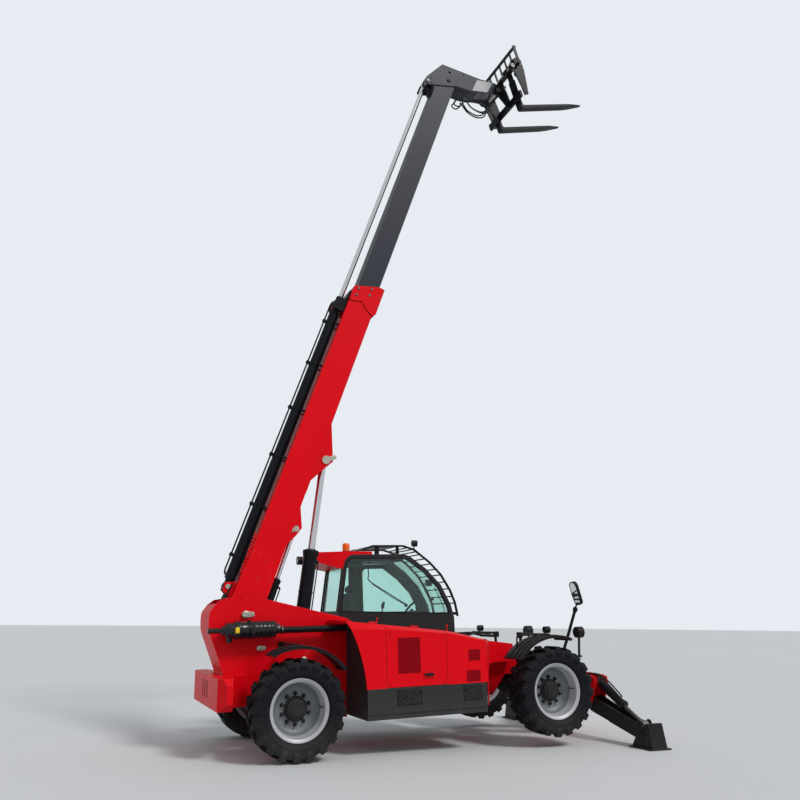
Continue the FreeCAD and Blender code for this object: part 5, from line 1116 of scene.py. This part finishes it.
def wire_screen(bm, x0, x1, z0, z1, y, pitch=9.0):
    """A screen of thin crossing wires with a flat rim."""
    for k in range(1, int((x1 - x0) / pitch)):
        x = x0 + (x1 - x0) * k / int((x1 - x0) / pitch)
        block(bm, x - 1.2, x + 1.2, y - 2.0, y, z0, z1)
    for k in range(1, int((z1 - z0) / pitch)):
        z = z0 + (z1 - z0) * k / int((z1 - z0) / pitch)
        block(bm, x0, x1, y - 2.4, y - 0.6, z - 1.2, z + 1.2)
    edge_ring(bm, [(x0, z0), (x1, z0), (x1, z1), (x0, z1)], 5, y - 3, y)


# Cab

SIDE_WINDOW = [(972, 1562), (1046, 2110), (1060, 2180), (1100, 2228), (1165, 2245), (1835, 2252), (1915, 2240),
               (1980, 2205), (2185, 2065), (2400, 1850), (2535, 1595), (2560, 1500)]
QUARTER = [(985, 1560), (1050, 2110), (1070, 2172), (1110, 2204), (1160, 2210), (1340, 2212), (1341, 1561)]
DOOR_WINDOW = [(1560, 1540), (1547, 2080), (1560, 2126), (1605, 2148), (1880, 2152), (2110, 1985), (2300, 1790),
               (2400, 1600), (2420, 1530)]


def make_cab_trim():
    """Window seals, wiper, door handle, guard pads and small fittings of the cab."""
    bm = bmesh.new()
    edge_ring(bm, SIDE_WINDOW, 13, 314.5, 318.5)
    edge_ring(bm, QUARTER, 12, 1119.5, 1122)
    for y in (373, 1062):
        block(bm, 860, 866, y - 6, y + 6, 1560, 2130, lambda x, yy, z: on_chassis(x + 0.138 * (z - 1526) + 46, yy, z))
    piece("window_seals", bm, "black_plastic", "chassis", bevel=1)
    bm = bmesh.new()
    edge_ring(bm, DOOR_WINDOW, 14, 1119.5, 1122.5)
    block(bm, 2326, 2444, 1119, 1124, 1392, 1438)
    block(bm, 2342, 2428, 1136, 1148, 1403, 1427)
    for x in (2342, 2414):
        block(bm, x, x + 14, 1122, 1140, 1405, 1425)
    for z in (1100, 2000):
        for x in (1466, 1488):
            hex_bolt(bm, on_chassis(x, 1133, z), LEFT, 14)
    piece("door_trim", bm, "black_plastic", "door", bevel=1.5)
    bm = bmesh.new()
    arm = [(2249, 1625), (1900, 1832), (1663, 1978), (1653, 2064), (1647, 2172)]
    swept(bm, bent_line([on_chassis(x, 1106, z) for x, z in arm], 5), 9, 8)
    swept(bm, [on_chassis(x, 1103, z) for x, z in ((2252, 1612), (2010, 1740), (1700, 1936))], 6, 6)
    turned(bm, on_chassis(2240, 1098, 1620), LEFT, [(0, 0), (0, 26), (18, 24), (24, 16), (24, 0)], 20)
    piece("door_wiper", bm, "black_plastic", "door")
    bm = bmesh.new()
    front = [(2590, 1500), (2560, 1620), (2440, 1850)]
    for y in (520, 880):
        swept(bm, bent_line([on_chassis(x, y, z) for x, z in front], 5), 6, 6)
    turned(bm, on_chassis(2610, 700, 1470), on_chassis(1, 0, 0.5) - on_chassis(0, 0, 0),
           [(-6, 0), (-6, 30), (16, 26), (20, 12), (20, 0)], 20)
    piece("front_wiper", bm, "black_plastic", "chassis")
    bm = bmesh.new()
    block(bm, 1040, 1900, 372, 1066, 2216, 2246)
    block(bm, 1040, 1300, 376, 470, 2130, 2216)
    for x in (1350, 1500):
        turned(bm, on_chassis(x, 650, 2216), -UP,
               [(0, 0), (0, 40), (6, 40), (10, 30), (10, 0)], 20)
    piece("headlining", bm, "black_plastic", "chassis", bevel=6)
    bm = bmesh.new()
    for x, y, z in ((1120, 340, 1545), (2080, 350, 1580), (2330, 348, 1690), (1870, 1060, 1660)):
        turned(bm, on_chassis(x, y, z), LEFT, [(0, 0), (0, 19), (20, 19), (24, 14), (24, 0)], 18)
    block(bm, 2240, 2330, 362, 396, 1870, 1960)
    block(bm, 2325, 2500, 560, 860, 1440, 1500)
    turned(bm, on_chassis(2330, 640, 1478), on_chassis(-1, 0, 0.4) - on_chassis(0, 0, 0),
           [(0, 0), (0, 34), (10, 34), (12, 30), (12, 0)], 24)
    piece("cab_fittings", bm, "black_plastic", "chassis", bevel=4)


def cushion(bm, outline, y0, y1, crown=14.0, seams=(), rows=24):
    """A stuffed form: an outline in the side view carried across, full in the middle and drawn in at its ends."""
    middle = (sum(a for a, _ in outline) / len(outline), sum(b for _, b in outline) / len(outline))
    rings = []
    closed = [outline[-1]] + list(outline) + [outline[0], outline[1]]
    line = []
    for a, b, c, d in zip(closed, closed[1:], closed[2:], closed[3:]):
        for k in range(4):
            t = k / 4
            line.append(tuple(0.5 * (2 * q + (r - p) * t + (2 * p - 5 * q + 4 * r - s) * t * t
                                     + (3 * q - p - 3 * r + s) * t ** 3) for p, q, r, s in zip(a, b, c, d)))
    for k in range(rows + 1):
        t = -1 + 2 * k / rows
        size = (1 - abs(t) ** 5) ** 0.5 if abs(t) < 1 else 0.0
        size = 0.80 + 0.20 * size
        swell = crown * (1 - t * t)
        dip = sum(5.0 * math.exp(-((t - seam) / 0.05) ** 2) for seam in seams)
        ring = []
        for a, b in line:
            away = Vector((a - middle[0], b - middle[1]))
            grown = away * size + away.normalized() * (swell - crown * 0.8 - dip)
            ring.append(bm.verts.new(on_chassis(middle[0] + grown.x, (y0 + y1) / 2 + t * (y1 - y0) / 2,
                                                middle[1] + grown.y)))
        rings.append(ring)
    for low, high in zip(rings, rings[1:]):
        for k in range(len(line)):
            n = (k + 1) % len(line)
            bm.faces.new((low[k], low[n], high[n], high[k]))
    for ring in (rings[0], rings[-1]):
        tip = bm.verts.new(sum((v.co for v in ring), Vector()) / len(ring))
        for k in range(len(line)):
            bm.faces.new((tip, ring[k], ring[(k + 1) % len(line)]))


def make_interior():
    """Driver's seat with its cushions, armrest and base, the levers and pedals."""
    parts = (("seat_cushion", [(1215, 1330), (1480, 1318), (1725, 1330), (1752, 1372), (1725, 1430), (1500, 1418),
                               (1300, 1440), (1215, 1424)], 480, 940, (-0.55, 0.55)),
             ("seat_back", [(1170, 1420), (1262, 1408), (1300, 1470), (1246, 1620), (1222, 1745), (1190, 1792),
                            (1140, 1770), (1118, 1640), (1128, 1500)], 490, 930, (-0.5, 0.5)),
             ("seat_headrest", [(1180, 1808), (1236, 1800), (1276, 1850), (1262, 1894), (1210, 1902), (1172, 1862)],
              590, 830, ()))
    for name, outline, y0, y1, seams in parts:
        bm = bmesh.new()
        cushion(bm, outline, y0, y1, seams=seams)
        made = piece(name, bm, "seat_fabric", "chassis",
                     stands_for=("seat",) if name == "seat_cushion" else ())
    bm = bmesh.new()
    for k in range(5):
        z = 1010 + 40 * k
        block(bm, 1278 - 12 * (k % 2), 1602 + 12 * (k % 2), 552 - 12 * (k % 2), 868 + 12 * (k % 2), z, z + 40)
    block(bm, 1260, 1620, 540, 880, 876, 1010)
    block(bm, 1240, 1660, 520, 900, 1210, 1250)
    block(bm, 1225, 1700, 500, 920, 1250, 1322)
    for y in (650, 770):
        round_bar(bm, on_chassis(1196, y, 1770), on_chassis(1214, y, 1830), 8)
    for y in (452, 968):
        prism(bm, oval(1430, 1462, 190, 30, lean=2, power=4), y - 30, y + 30)
        prism(bm, [(1235, 1340), (1300, 1340), (1300, 1446), (1235, 1446)], y - 14, y + 14)
    piece("seat_frame", bm, "black_plastic", "chassis", bevel=5)
    bm = bmesh.new()
    round_bar(bm, on_chassis(1590, 452, 1480), on_chassis(1610, 452, 1600), 9)
    turned(bm, on_chassis(1608, 452, 1580), on_chassis(0.15, 0, 1) - on_chassis(0, 0, 0),
           [(0, 0), (0, 18), (30, 24), (60, 22), (72, 12), (74, 0)], 20)
    round_bar(bm, on_chassis(2180, 620, 1500), on_chassis(2130, 560, 1540), 6)
    round_bar(bm, on_chassis(2180, 800, 1500), on_chassis(2130, 870, 1535), 6)
    for y in (640, 780):
        prism(bm, [(2230, 905), (2300, 880), (2330, 960), (2262, 1000)], y - 34, y + 34)
        round_bar(bm, on_chassis(2290, y, 950), on_chassis(2360, y, 1120), 9)
    piece("levers_and_pedals", bm, "black_plastic", "chassis", bevel=2)


# Lamps and mirror

def make_lights():
    """Lenses and bezels of the lamps, and the beacon's dome on its foot."""
    lamps = []
    for s in (-1, 1):
        lamps += [("driving_lens", WHEELBASE + 778, s * 645, 1205, 72, AHEAD, "clear_lens"),
                  ("marker_lens", WHEELBASE + 92, s * 900, 1262, 42, AHEAD, "amber_lens")]
    lamps += [("roof_lens", 2130, 420, 2468, 44, AHEAD, "clear_lens"),
              ("rear_lens", 548, 1000, 2262, 58, -AHEAD, "clear_lens")]
    for k, (name, x, y, z, r, way, finish) in enumerate(lamps):
        at = on_chassis(x, y, z)
        bm = bmesh.new()
        turned(bm, at, way, [(0.3, 0), (0.3, r - 7), (5, r - 9), (8, (r - 9) * 0.6), (9, 0)], 32)
        piece("%s_%d" % (name, k), bm, finish, "chassis")
        bm = bmesh.new()
        turned(bm, at, way, [(-14, r - 1), (-14, r + 1), (6, r + 1), (7, r - 1), (7, r - 7), (0.2, r - 7),
                             (-14, r - 1)], 32)
        piece("%s_bezel_%d" % (name, k), bm, "black_plastic", "chassis")
    bm = bmesh.new()
    foot = on_chassis(1120, 560, 2345.3)
    turned(bm, foot, UP, [(0, 0), (0, 62), (6, 63), (12, 60), (16, 56), (24, 55), (24, 0)], 40)
    piece("beacon_foot", bm, "black_plastic", "chassis")
    bm = bmesh.new()
    dome = [(24, 0), (24, 51)]
    for k in range(6):
        dome += [(30 + 14 * k, 50.5), (34 + 14 * k, 48.6), (38 + 14 * k, 50.3)]
    dome += [(112, 49), (122, 42), (128, 28), (129, 0)]
    turned(bm, foot, UP, dome, 40)
    piece("beacon_dome", bm, "beacon_plastic", "chassis", stands_for=("beacon",))


def make_mirror():
    """Glass, rim and clamp bolts of the mirror."""
    x0, tilt = WHEELBASE + 748, math.radians(15.3)

    def on_mirror(across_y, out, up):
        return on_chassis(x0 + out * math.cos(tilt) - up * math.sin(tilt), -640 + across_y,
                          1719 + out * math.sin(tilt) + up * math.cos(tilt))

    bm = bmesh.new()
    prism(bm, oval(0, 0, 68, 148, power=3.4), -20.5, -17.5, on_mirror)
    piece("mirror_glass", bm, "mirror_glass", "chassis")
    bm = bmesh.new()
    edge_ring(bm, oval(0, 0, 68, 148, power=3.4), 12, -24, -14, on_mirror)
    turned(bm, on_mirror(0, 16, -10), on_mirror(0, 1, 0) - on_mirror(0, 0, 0),
           [(0, 0), (0, 40), (10, 36), (22, 22), (22, 0)], 24)
    piece("mirror_rim", bm, "black_plastic", "chassis", bevel=2)
    bm = bmesh.new()
    x = WHEELBASE + 540
    swept(bm, [on_chassis(x, -520, 930), on_chassis(x + 120, -532, 1212), on_chassis(x + 238, -545, 1497)], 21, 14)
    turned(bm, on_chassis(x + 236, -545, 1480), on_chassis(0.2, 0, 1) - on_chassis(0, 0, 0),
           [(0, 0), (0, 32), (14, 34), (30, 34), (44, 26), (44, 0)], 20)
    for z in (712, 780, 850):
        hex_bolt(bm, on_chassis(x, -328, z), RIGHT, 16)
    piece("mirror_arm_sleeve", bm, "black_paint", "chassis", bevel=1)


# Stabilisers, guards and underside

def arc_band(bm, x, r0, r1, a0, a1, y0, y1, steps=20):
    """A band of plate bent round the wheel at station x."""
    angles = [math.radians(a0 + (a1 - a0) * k / steps) for k in range(steps + 1)]
    rings = [[bm.verts.new(on_chassis(x + r * math.cos(a), y, AXLE_HEIGHT + r * math.sin(a))) for a in angles]
             for y, r in ((y0, r0), (y0, r1), (y1, r1), (y1, r0))]
    for low, high in zip(rings, rings[1:] + rings[:1]):
        for k in range(steps):
            bm.faces.new((low[k], low[k + 1], high[k + 1], high[k]))
    for k in (0, steps):
        bm.faces.new([ring[k] for ring in rings])


def make_guard_trim():
    """Ridges and turned lips of the mudguards, the handle on the front ones and their bolts."""
    bm = bmesh.new()
    for s in (-1, 1):
        for x, a0, a1, half, ridges in ((0.0, 37.0, 118.0, 190, (-0.1, 0.55)),
                                        (WHEELBASE, 68.0, 142.0, 200, (-0.45, 0.1, 0.6))):
            outer = s * (TRACK_Y + half)
            arc_band(bm, x, 634, 664, a0, a1, outer, outer - s * 7)
            arc_band(bm, x, 662, 671, a0, a1, outer, outer - s * 26)
            for share in ridges:
                mid = s * (TRACK_Y + half * share)
                arc_band(bm, x, 662, 674, a0 + 2, a1 - 2, mid - 12, mid + 12)
            for a in (a0, a1):
                arc_band(bm, x, 640, 668, a - 0.5, a + 0.5, s * (TRACK_Y - half), outer, 2)
    piece("guard_ridges", bm, "black_plastic", "chassis", bevel=2)
    bm = bmesh.new()
    for s in (-1, 1):
        handle = [(2904, 1062), (2904, 1093), (2909, 1165), (2920, 1198), (2960, 1204), (3080, 1205),
                  (3165, 1205), (3205, 1190)]
        swept(bm, bent_line([on_chassis(x, s * 900, z) for x, z in handle], 5), 11, 10)
        for x, z in ((60, 1193), (150, 1178), (WHEELBASE - 30, 1196), (WHEELBASE + 30, 1196)):
            hex_bolt(bm, on_chassis(x, s * 860, z + 1), UP, 16)
        for x in (0.0, WHEELBASE):
            block(bm, x - 26, x + 26, s * 780 - 30, s * 780 + 30, 1192, 1204)
            block(bm, x - 70, x + 70, min(s * 800, s * 990), max(s * 800, s * 990), 1190, 1200)
    piece("guard_fittings", bm, "black_paint", "chassis", bevel=1.5)


def make_stabiliser_trim():
    """Hoses, bolted brackets and pin keepers of the stabilisers."""
    for name, s in (("right", -1), ("left", 1)):
        for dx in (-22, 22):
            bm = bmesh.new()
            run = [(318, 590), (410, 640), (530, 652), (640, 642), (742, 606), (850, 556), (950, 490), (1040, 432),
                   (1075, 400)]
            swept(bm, bent_line([on_chassis(LEG_X + dx, s * y, z) for y, z in run], 6), 10, 10)
            made = free_object("ram_hose_%s_%s" % (name, "rear" if dx < 0 else "front"), bm, "hose_rubber")
            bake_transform(made)
        bm = bmesh.new()
        for k, way in ((-1, -AHEAD), (1, AHEAD)):
            for (y, z), reach in ((LEG_PIN, 122), (RAM_BASE, 60)):
                at = on_chassis(LEG_X + k * reach, s * y, z)
                turned(bm, at, way, [(-8, 0), (-8, 34), (2, 34), (4, 31), (4, 0)], 24)
                if reach > 100:
                    hex_bolt(bm, at + way.normalized() * 0.002, way, 20)
        piece("stabiliser_pin_caps_" + name, bm, "dark_zinc", "chassis")
        bm = bmesh.new()
        for k in (-1, 1):
            x0, x1 = sorted((LEG_X + k * 110.5, LEG_X + k * 118))
            prism(bm, [(s * 330, 300), (s * 330, 620), (s * 420, 636), (s * 470, 560), (s * 430, 470),
                       (s * 430, 300)],
                  x0, x1, lambda y, x, z: on_chassis(x, y, z))
            for y, z in ((350, 350), (350, 470), (350, 590), (400, 600)):
                hex_bolt(bm, on_chassis(LEG_X + k * 118, s * y, z), AHEAD * k, 16)
        piece("stabiliser_brackets_" + name, bm, "red_paint", "chassis", bevel=2)
        bm = bmesh.new()
        for k in (-1, 1):
            at = on_chassis(LEG_X + k * 86, s * RAM_EYE[0], RAM_EYE[1])
            turned(bm, at, AHEAD * k, [(-2, 0), (-2, 30), (6, 30), (8, 26), (8, 0)], 24)
            hex_bolt(bm, at + AHEAD.normalized() * (k * 0.006), AHEAD * k, 16)
        for t in (500, 760, 1020):
            share = t / 1100
            y, z = s * (500 + 1060 * share), 290 - 273 * share
            hex_bolt(bm, on_chassis(LEG_X - 84, y, z + 50), -AHEAD, 14)
            hex_bolt(bm, on_chassis(LEG_X + 84, y, z + 50), AHEAD, 14)
        piece("leg_pin_caps_" + name, bm, "black_paint", "leg_" + name)


def make_underside():
    """Gearbox, prop shafts, axle bolts and steering cylinders between the frame plates."""
    bm = bmesh.new()
    prism(bm, [(1500, 480), (1960, 480), (2000, 540), (1980, 700), (1840, 760), (1560, 740), (1480, 640)], -150, 150)
    for x in (1560, 1640, 1720, 1800, 1880):
        prism(bm, [(x, 470), (x + 14, 470), (x + 14, 744), (x, 744)], -160, 160)
    for x, r in ((1455, 70), (2000, 70)):
        turned(bm, on_chassis(x, 0, 545), AHEAD, [(0, 0), (0, r), (30, r), (30, 0)], 28)
    for x in (0.0, WHEELBASE):
        for k in range(12):
            t = 2 * math.pi * k / 12
            for face in (-1, 1):
                spot = on_chassis(x + face * 118, 118 * math.cos(t), AXLE_HEIGHT + 108 * math.sin(t))
                hex_bolt(bm, spot, AHEAD * face, 17)
        for face in (-1, 1):
            turned(bm, on_chassis(x, 0, AXLE_HEIGHT), AHEAD * face,
                   [(100, 0), (100, 132), (120, 132), (124, 128), (152, 84), (176, 66), (176, 0)], 36)
    piece("gearbox_and_covers", bm, "cast_iron", "chassis", bevel=3)
    bm = bmesh.new()
    for x0, x1 in ((178, 1455), (2030, 3122)):
        z0, z1 = (AXLE_HEIGHT, 545) if x0 < 1000 else (545, AXLE_HEIGHT)
        p, q = on_chassis(x0, 0, z0), on_chassis(x1, 0, z1)
        turned(bm, p, q - p, [(0, 0), (0, 56), (12, 56), (16, 34), (60, 34), (90, 38), (100, 32), (x1 - x0 - 100, 32),
                              (x1 - x0 - 90, 38), (x1 - x0 - 60, 34), (x1 - x0 - 16, 34), (x1 - x0 - 12, 56),
                              (x1 - x0, 56), (x1 - x0, 0)], 28)
    piece("prop_shafts", bm, "black_paint", "chassis")
    bm = bmesh.new()
    for x, face in ((0.0, 1), (WHEELBASE, -1)):
        at = on_chassis(x + face * 150, -330, AXLE_HEIGHT + 46)
        turned(bm, at, LEFT, [(0, 0), (0, 38), (20, 40), (40, 36), (620, 36), (640, 40), (660, 38), (660, 0)], 28)
        round_bar(bm, on_chassis(x + face * 150, -470, AXLE_HEIGHT + 46),
                  on_chassis(x + face * 150, 470, AXLE_HEIGHT + 46), 17)
        for y in (-230, 230):
            block(bm, x + face * 150 - 50, x + face * 150 + 50, y - 18, y + 18, AXLE_HEIGHT, AXLE_HEIGHT + 90)
    piece("steering_cylinders", bm, "black_paint", "chassis", bevel=2)


def make_bays():
    """Lower wall of the rear bay in painted shade, hoses behind the front wheel, tank cap, step treads and black slot
    backs of painted shade.
    """
    bm = bmesh.new()
    wall = [(440, 330), (812, 330), (812, 355), (812, 575), (440, 575)]
    # The lower bay wall is painted dark red as painted shade, where it lies in shadow behind the wheel
    prism(bm, wall, -345, -330)
    piece("bay_lower_wall", bm, "painted_shade_red", "chassis", bevel=2)
    bm = bmesh.new()
    for k, (y, z, out) in enumerate(((-345, 560, 0), (-372, 610, 20), (-345, 650, 0), (-400, 520, 30))):
        run = [(2330, z + 60), (2450, z + 40 + out), (2560, z - 30), (2660, z - 70 + out), (2780, z - 40)]
        swept(bm, bent_line([on_chassis(x, y - 40 * (j % 2), h) for j, (x, h) in enumerate(run)], 6), 13, 10)
    for x, y, z, high in ((2400, -380, 560, 150), (2480, -420, 480, 120), (2600, -350, 520, 180)):
        block(bm, x, x + 60, y - 34, y + 34, z, z + high)
    piece("side_hoses", bm, "hose_rubber", "chassis", bevel=2)
    bm = bmesh.new()
    turned(bm, on_chassis(1180, 1060, 720), LEFT,
           [(-4, 0), (-4, 62), (6, 62), (8, 46), (30, 46), (33, 42), (33, 0)], 32)
    for k in range(9):
        x = 1610 + 92 * k
        block(bm, x, x + 40, 845, 1044, 462, 468)
    for y in (846, 1042):
        block(bm, 1584, 2396, y - 4, y + 4, 462, 472)
    for x in (900, 1500, 2450):
        block(bm, x, x + 40, 1058, 1064, 400, 820)
    # Black backs in the counterweight's slots: painted shade inside the slots
    for y in (-150, 0, 150):
        block(bm, -830, -776, y - 31.5, y + 31.5, 626, 817)
    piece("tank_fittings", bm, "black_plastic", "chassis", bevel=2)


def keeper_plate(bm, spot, y, s, angle, length, width, thick=12.0):
    """A long round-ended keeper plate on a pin's end, with its two bolts."""
    a = math.radians(angle)
    points = []
    for k in range(24):
        t = 2 * math.pi * k / 24
        u = width / 2 * math.cos(t) + (length / 2 if math.cos(t) > 0 else -length / 2)
        v = width / 2 * math.sin(t)
        points.append((spot[0] + (u + length / 2) * math.cos(a) - v * math.sin(a),
                       spot[1] + (u + length / 2) * math.sin(a) + v * math.cos(a)))
    side_plate(bm, points, s, y, y + thick, on_chassis)
    for share in (0.62, 0.98):
        hex_bolt(bm, on_chassis(spot[0] + length * share * math.cos(a), s * (y + thick),
                                spot[1] + length * share * math.sin(a)), Vector((0, s, 0)), 18)


def make_keepers():
    """End caps, keeper plates and bolts on the pins of the boom and its cylinders."""
    bm = bmesh.new()
    for s in (-1, 1):
        for (x, z), r in ((BOOM_PIVOT, 42), (LIFT_BASE, 42), (COMP_BASE, 30)):
            at = on_chassis(x, s * 345, z)
            turned(bm, at, LEFT * s,
                   [(-6, 0), (-6, r - 2), (3, r - 2), (5, r - 5), (5, r * 0.3), (2, r * 0.25), (2, 0)], 28)
        for x, z in ((-365, 1550), (-212, 1160)):
            hex_bolt(bm, on_chassis(x, s * 329, z), LEFT * s, 20)
    piece("frame_pin_caps", bm, "zinc", "chassis")
    bm = bmesh.new()
    for s in (-1, 1):
        keeper_plate(bm, LIFT_BASE, 316, s, 62, 96, 92, 12)
    piece("lift_base_keepers", bm, "red_paint", "chassis", bevel=1.5)
    bm = bmesh.new()
    for s in (-1, 1):
        keeper_plate(bm, boom_point(LIFT_EYE), 136, s, 20, 120, 60, 10)
        keeper_plate(bm, boom_point(COMP_EYE), 86, s, 200, 90, 46, 8)
    piece("boom_lug_keepers", bm, "zinc", "boom", bevel=1)


def make_boom_hoses():
    """Hoses that cross from the frame to the boom's foot."""
    for k, y in enumerate((-96, -60, -24, 24, 60, 96)):
        bm = bmesh.new()
        run = [on_chassis(-560, y, 1180), on_chassis(-640, y, 1290), on_chassis(-700, y * 1.1, 1440),
               on_chassis(-690, y * 1.1, 1600), on_boom(60, y, 262), on_boom(170, y * 0.9, 250 + 6 * (k % 2)),
               on_boom(300, y * 0.9, 236)]
        swept(bm, bent_line(run, 8), 12, 10)
        made = free_object("boom_foot_hose_%d" % k, bm, "hose_rubber")
        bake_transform(made)


# Settings, steps and panel

class BodyColours(bpy.types.PropertyGroup):
    """Paints of the machine"""
    body: bpy.props.FloatVectorProperty(name="Body", description="Paint of the chassis, covers and outer boom",
                                        subtype="COLOR", size=3, min=0, max=1, default=(0.72, 0.0012, 0.0075))
    inner_boom: bpy.props.FloatVectorProperty(name="Inner boom", description="Paint of the inner boom and its head",
                                              subtype="COLOR", size=3, min=0, max=1, default=(0.030, 0.033, 0.047))
    trim: bpy.props.FloatVectorProperty(name="Trim", description="Paint of the cab posts and the lower skirt",
                                        subtype="COLOR", size=3, min=0, max=1, default=(0.026, 0.0255, 0.028))


class WheelSizes(bpy.types.PropertyGroup):
    """Sizes of tyres and tread"""
    tyre_radius: bpy.props.FloatProperty(name="Tyre radius", description="Outer radius over the lugs",
                                         unit="LENGTH", default=0.533, min=0.4, max=0.6)
    tyre_width: bpy.props.FloatProperty(name="Tyre width", description="Width over the side walls",
                                        unit="LENGTH", default=0.400, min=0.3, max=0.5)
    lug_height: bpy.props.FloatProperty(name="Lug height", description="Depth of the tread",
                                        unit="LENGTH", default=0.034, min=0.01, max=0.05)
    lugs: bpy.props.IntProperty(name="Lugs", description="Lugs in each of the two rows", default=20, min=12, max=30)


class BoomSizes(bpy.types.PropertyGroup):
    """Sizes of the boom's pipes"""
    pipe_radius: bpy.props.FloatProperty(name="Pipe radius", description="Radius of the service pipe on the boom ram",
                                         unit="LENGTH", default=0.011, min=0.005, max=0.03)


class StageSettings(bpy.types.PropertyGroup):
    """Camera, light and floor"""
    lens: bpy.props.FloatProperty(name="Lens", description="Focal length of the camera in millimetres",
                                  default=34.74, min=18, max=200)
    pitch: bpy.props.FloatProperty(name="Pitch", description="Upward tilt of the camera in degrees",
                                   default=15.9, min=-30, max=60)
    sky: bpy.props.FloatProperty(name="Sky", description="Strength of the soft light from all sides",
                                 default=0.56, min=0, max=3)
    lamp: bpy.props.FloatProperty(name="Lamp", description="Strength of the broad lamp", default=1.75, min=0, max=8)
    floor: bpy.props.FloatVectorProperty(name="Floor", description="Colour of the floor", subtype="COLOR", size=3,
                                         min=0, max=1, default=(0.58, 0.60, 0.62))


class TELEHANDLER_OT_stage(bpy.types.Operator):
    """Camera, floor, air and lamp"""
    bl_idname = "telehandler.stage"
    bl_label = "Stage"

    def execute(self, context):
        make_camera(context.scene.telehandler_stage)
        make_stage(context.scene.telehandler_stage)
        return {"FINISHED"}


class TELEHANDLER_OT_finishes(bpy.types.Operator):
    """Finishes for every solid of the machine"""
    bl_idname = "telehandler.finishes"
    bl_label = "Finishes"

    def execute(self, context):
        make_finishes(context.scene.telehandler_colours)
        finish_nodes()
        return {"FINISHED"}


class TELEHANDLER_OT_wheels(bpy.types.Operator):
    """Tyres, rims, hubs and nuts of the four corners"""
    bl_idname = "telehandler.wheels"
    bl_label = "Wheels"

    def execute(self, context):
        make_wheels(context.scene.telehandler_wheels)
        return {"FINISHED"}


class TELEHANDLER_OT_boom(bpy.types.Operator):
    """Bolts, seam, pipes and clamps of the outer boom"""
    bl_idname = "telehandler.boom"
    bl_label = "Boom trim"

    def execute(self, context):
        make_boom_trim(context.scene.telehandler_boom)
        return {"FINISHED"}


class TELEHANDLER_OT_cylinders(bpy.types.Operator):
    """Glands, ports, pipes and clips of the cylinders"""
    bl_idname = "telehandler.cylinders"
    bl_label = "Cylinders"

    def execute(self, context):
        make_cylinders()
        return {"FINISHED"}


class TELEHANDLER_OT_head(bpy.types.Operator):
    """Hoses, pin caps and plates at the boom's head and on the carriage"""
    bl_idname = "telehandler.head"
    bl_label = "Head and carriage"

    def execute(self, context):
        make_head_trim()
        make_carriage_trim()
        return {"FINISHED"}


class TELEHANDLER_OT_engine_side(bpy.types.Operator):
    """Wire screens, latch and bolts of the engine side, and the air cleaner"""
    bl_idname = "telehandler.engine_side"
    bl_label = "Engine side"

    def execute(self, context):
        make_hood_trim()
        make_air_cleaner()
        return {"FINISHED"}


class TELEHANDLER_OT_cab(bpy.types.Operator):
    """Seals, wipers, fittings, seat and levers of the cab"""
    bl_idname = "telehandler.cab"
    bl_label = "Cab"

    def execute(self, context):
        make_cab_trim()
        make_interior()
        return {"FINISHED"}


class TELEHANDLER_OT_lights(bpy.types.Operator):
    """Lenses, bezels, beacon and mirror"""
    bl_idname = "telehandler.lights"
    bl_label = "Lamps and mirror"

    def execute(self, context):
        make_lights()
        make_mirror()
        return {"FINISHED"}


class TELEHANDLER_OT_chassis(bpy.types.Operator):
    """Stabiliser, mudguard, underside and pin fittings, and the hoses at the boom's foot"""
    bl_idname = "telehandler.chassis"
    bl_label = "Chassis trim"

    def execute(self, context):
        make_guard_trim()
        make_stabiliser_trim()
        make_underside()
        make_bays()
        make_keepers()
        make_boom_hoses()
        return {"FINISHED"}


STEPS = (TELEHANDLER_OT_finishes, TELEHANDLER_OT_stage, TELEHANDLER_OT_wheels, TELEHANDLER_OT_boom,
         TELEHANDLER_OT_cylinders, TELEHANDLER_OT_head, TELEHANDLER_OT_engine_side, TELEHANDLER_OT_cab,
         TELEHANDLER_OT_lights, TELEHANDLER_OT_chassis)


class TELEHANDLER_PT_steps(bpy.types.Panel):
    """Lists the settings and the steps that dress the machine"""
    bl_label = "Telehandler"
    bl_space_type = "VIEW_3D"
    bl_region_type = "UI"
    bl_category = "Telehandler"

    def draw(self, context):
        scene = context.scene
        for settings in (scene.telehandler_colours, scene.telehandler_wheels, scene.telehandler_boom,
                         scene.telehandler_stage):
            for label in settings.__annotations__:
                self.layout.prop(settings, label)
        for step in STEPS:
            self.layout.operator(step.bl_idname)


SETTINGS = (("telehandler_colours", BodyColours), ("telehandler_wheels", WheelSizes),
            ("telehandler_boom", BoomSizes), ("telehandler_stage", StageSettings))


def register():
    """Makes the settings, steps and panel known."""
    for name, kind in SETTINGS:
        bpy.utils.register_class(kind)
        setattr(bpy.types.Scene, name, bpy.props.PointerProperty(type=kind))
    for step in STEPS:
        bpy.utils.register_class(step)
    bpy.utils.register_class(TELEHANDLER_PT_steps)


def unregister():
    """Takes them away again."""
    bpy.utils.unregister_class(TELEHANDLER_PT_steps)
    for step in reversed(STEPS):
        bpy.utils.unregister_class(step)
    for name, kind in reversed(SETTINGS):
        delattr(bpy.types.Scene, name)
        bpy.utils.unregister_class(kind)


def main():
    """Registers the add-on and runs its steps in order."""
    register()
    for step in STEPS:
        family, action = step.bl_idname.split(".")
        getattr(getattr(bpy.ops, family), action)()


if __name__ == "__main__":
    main()
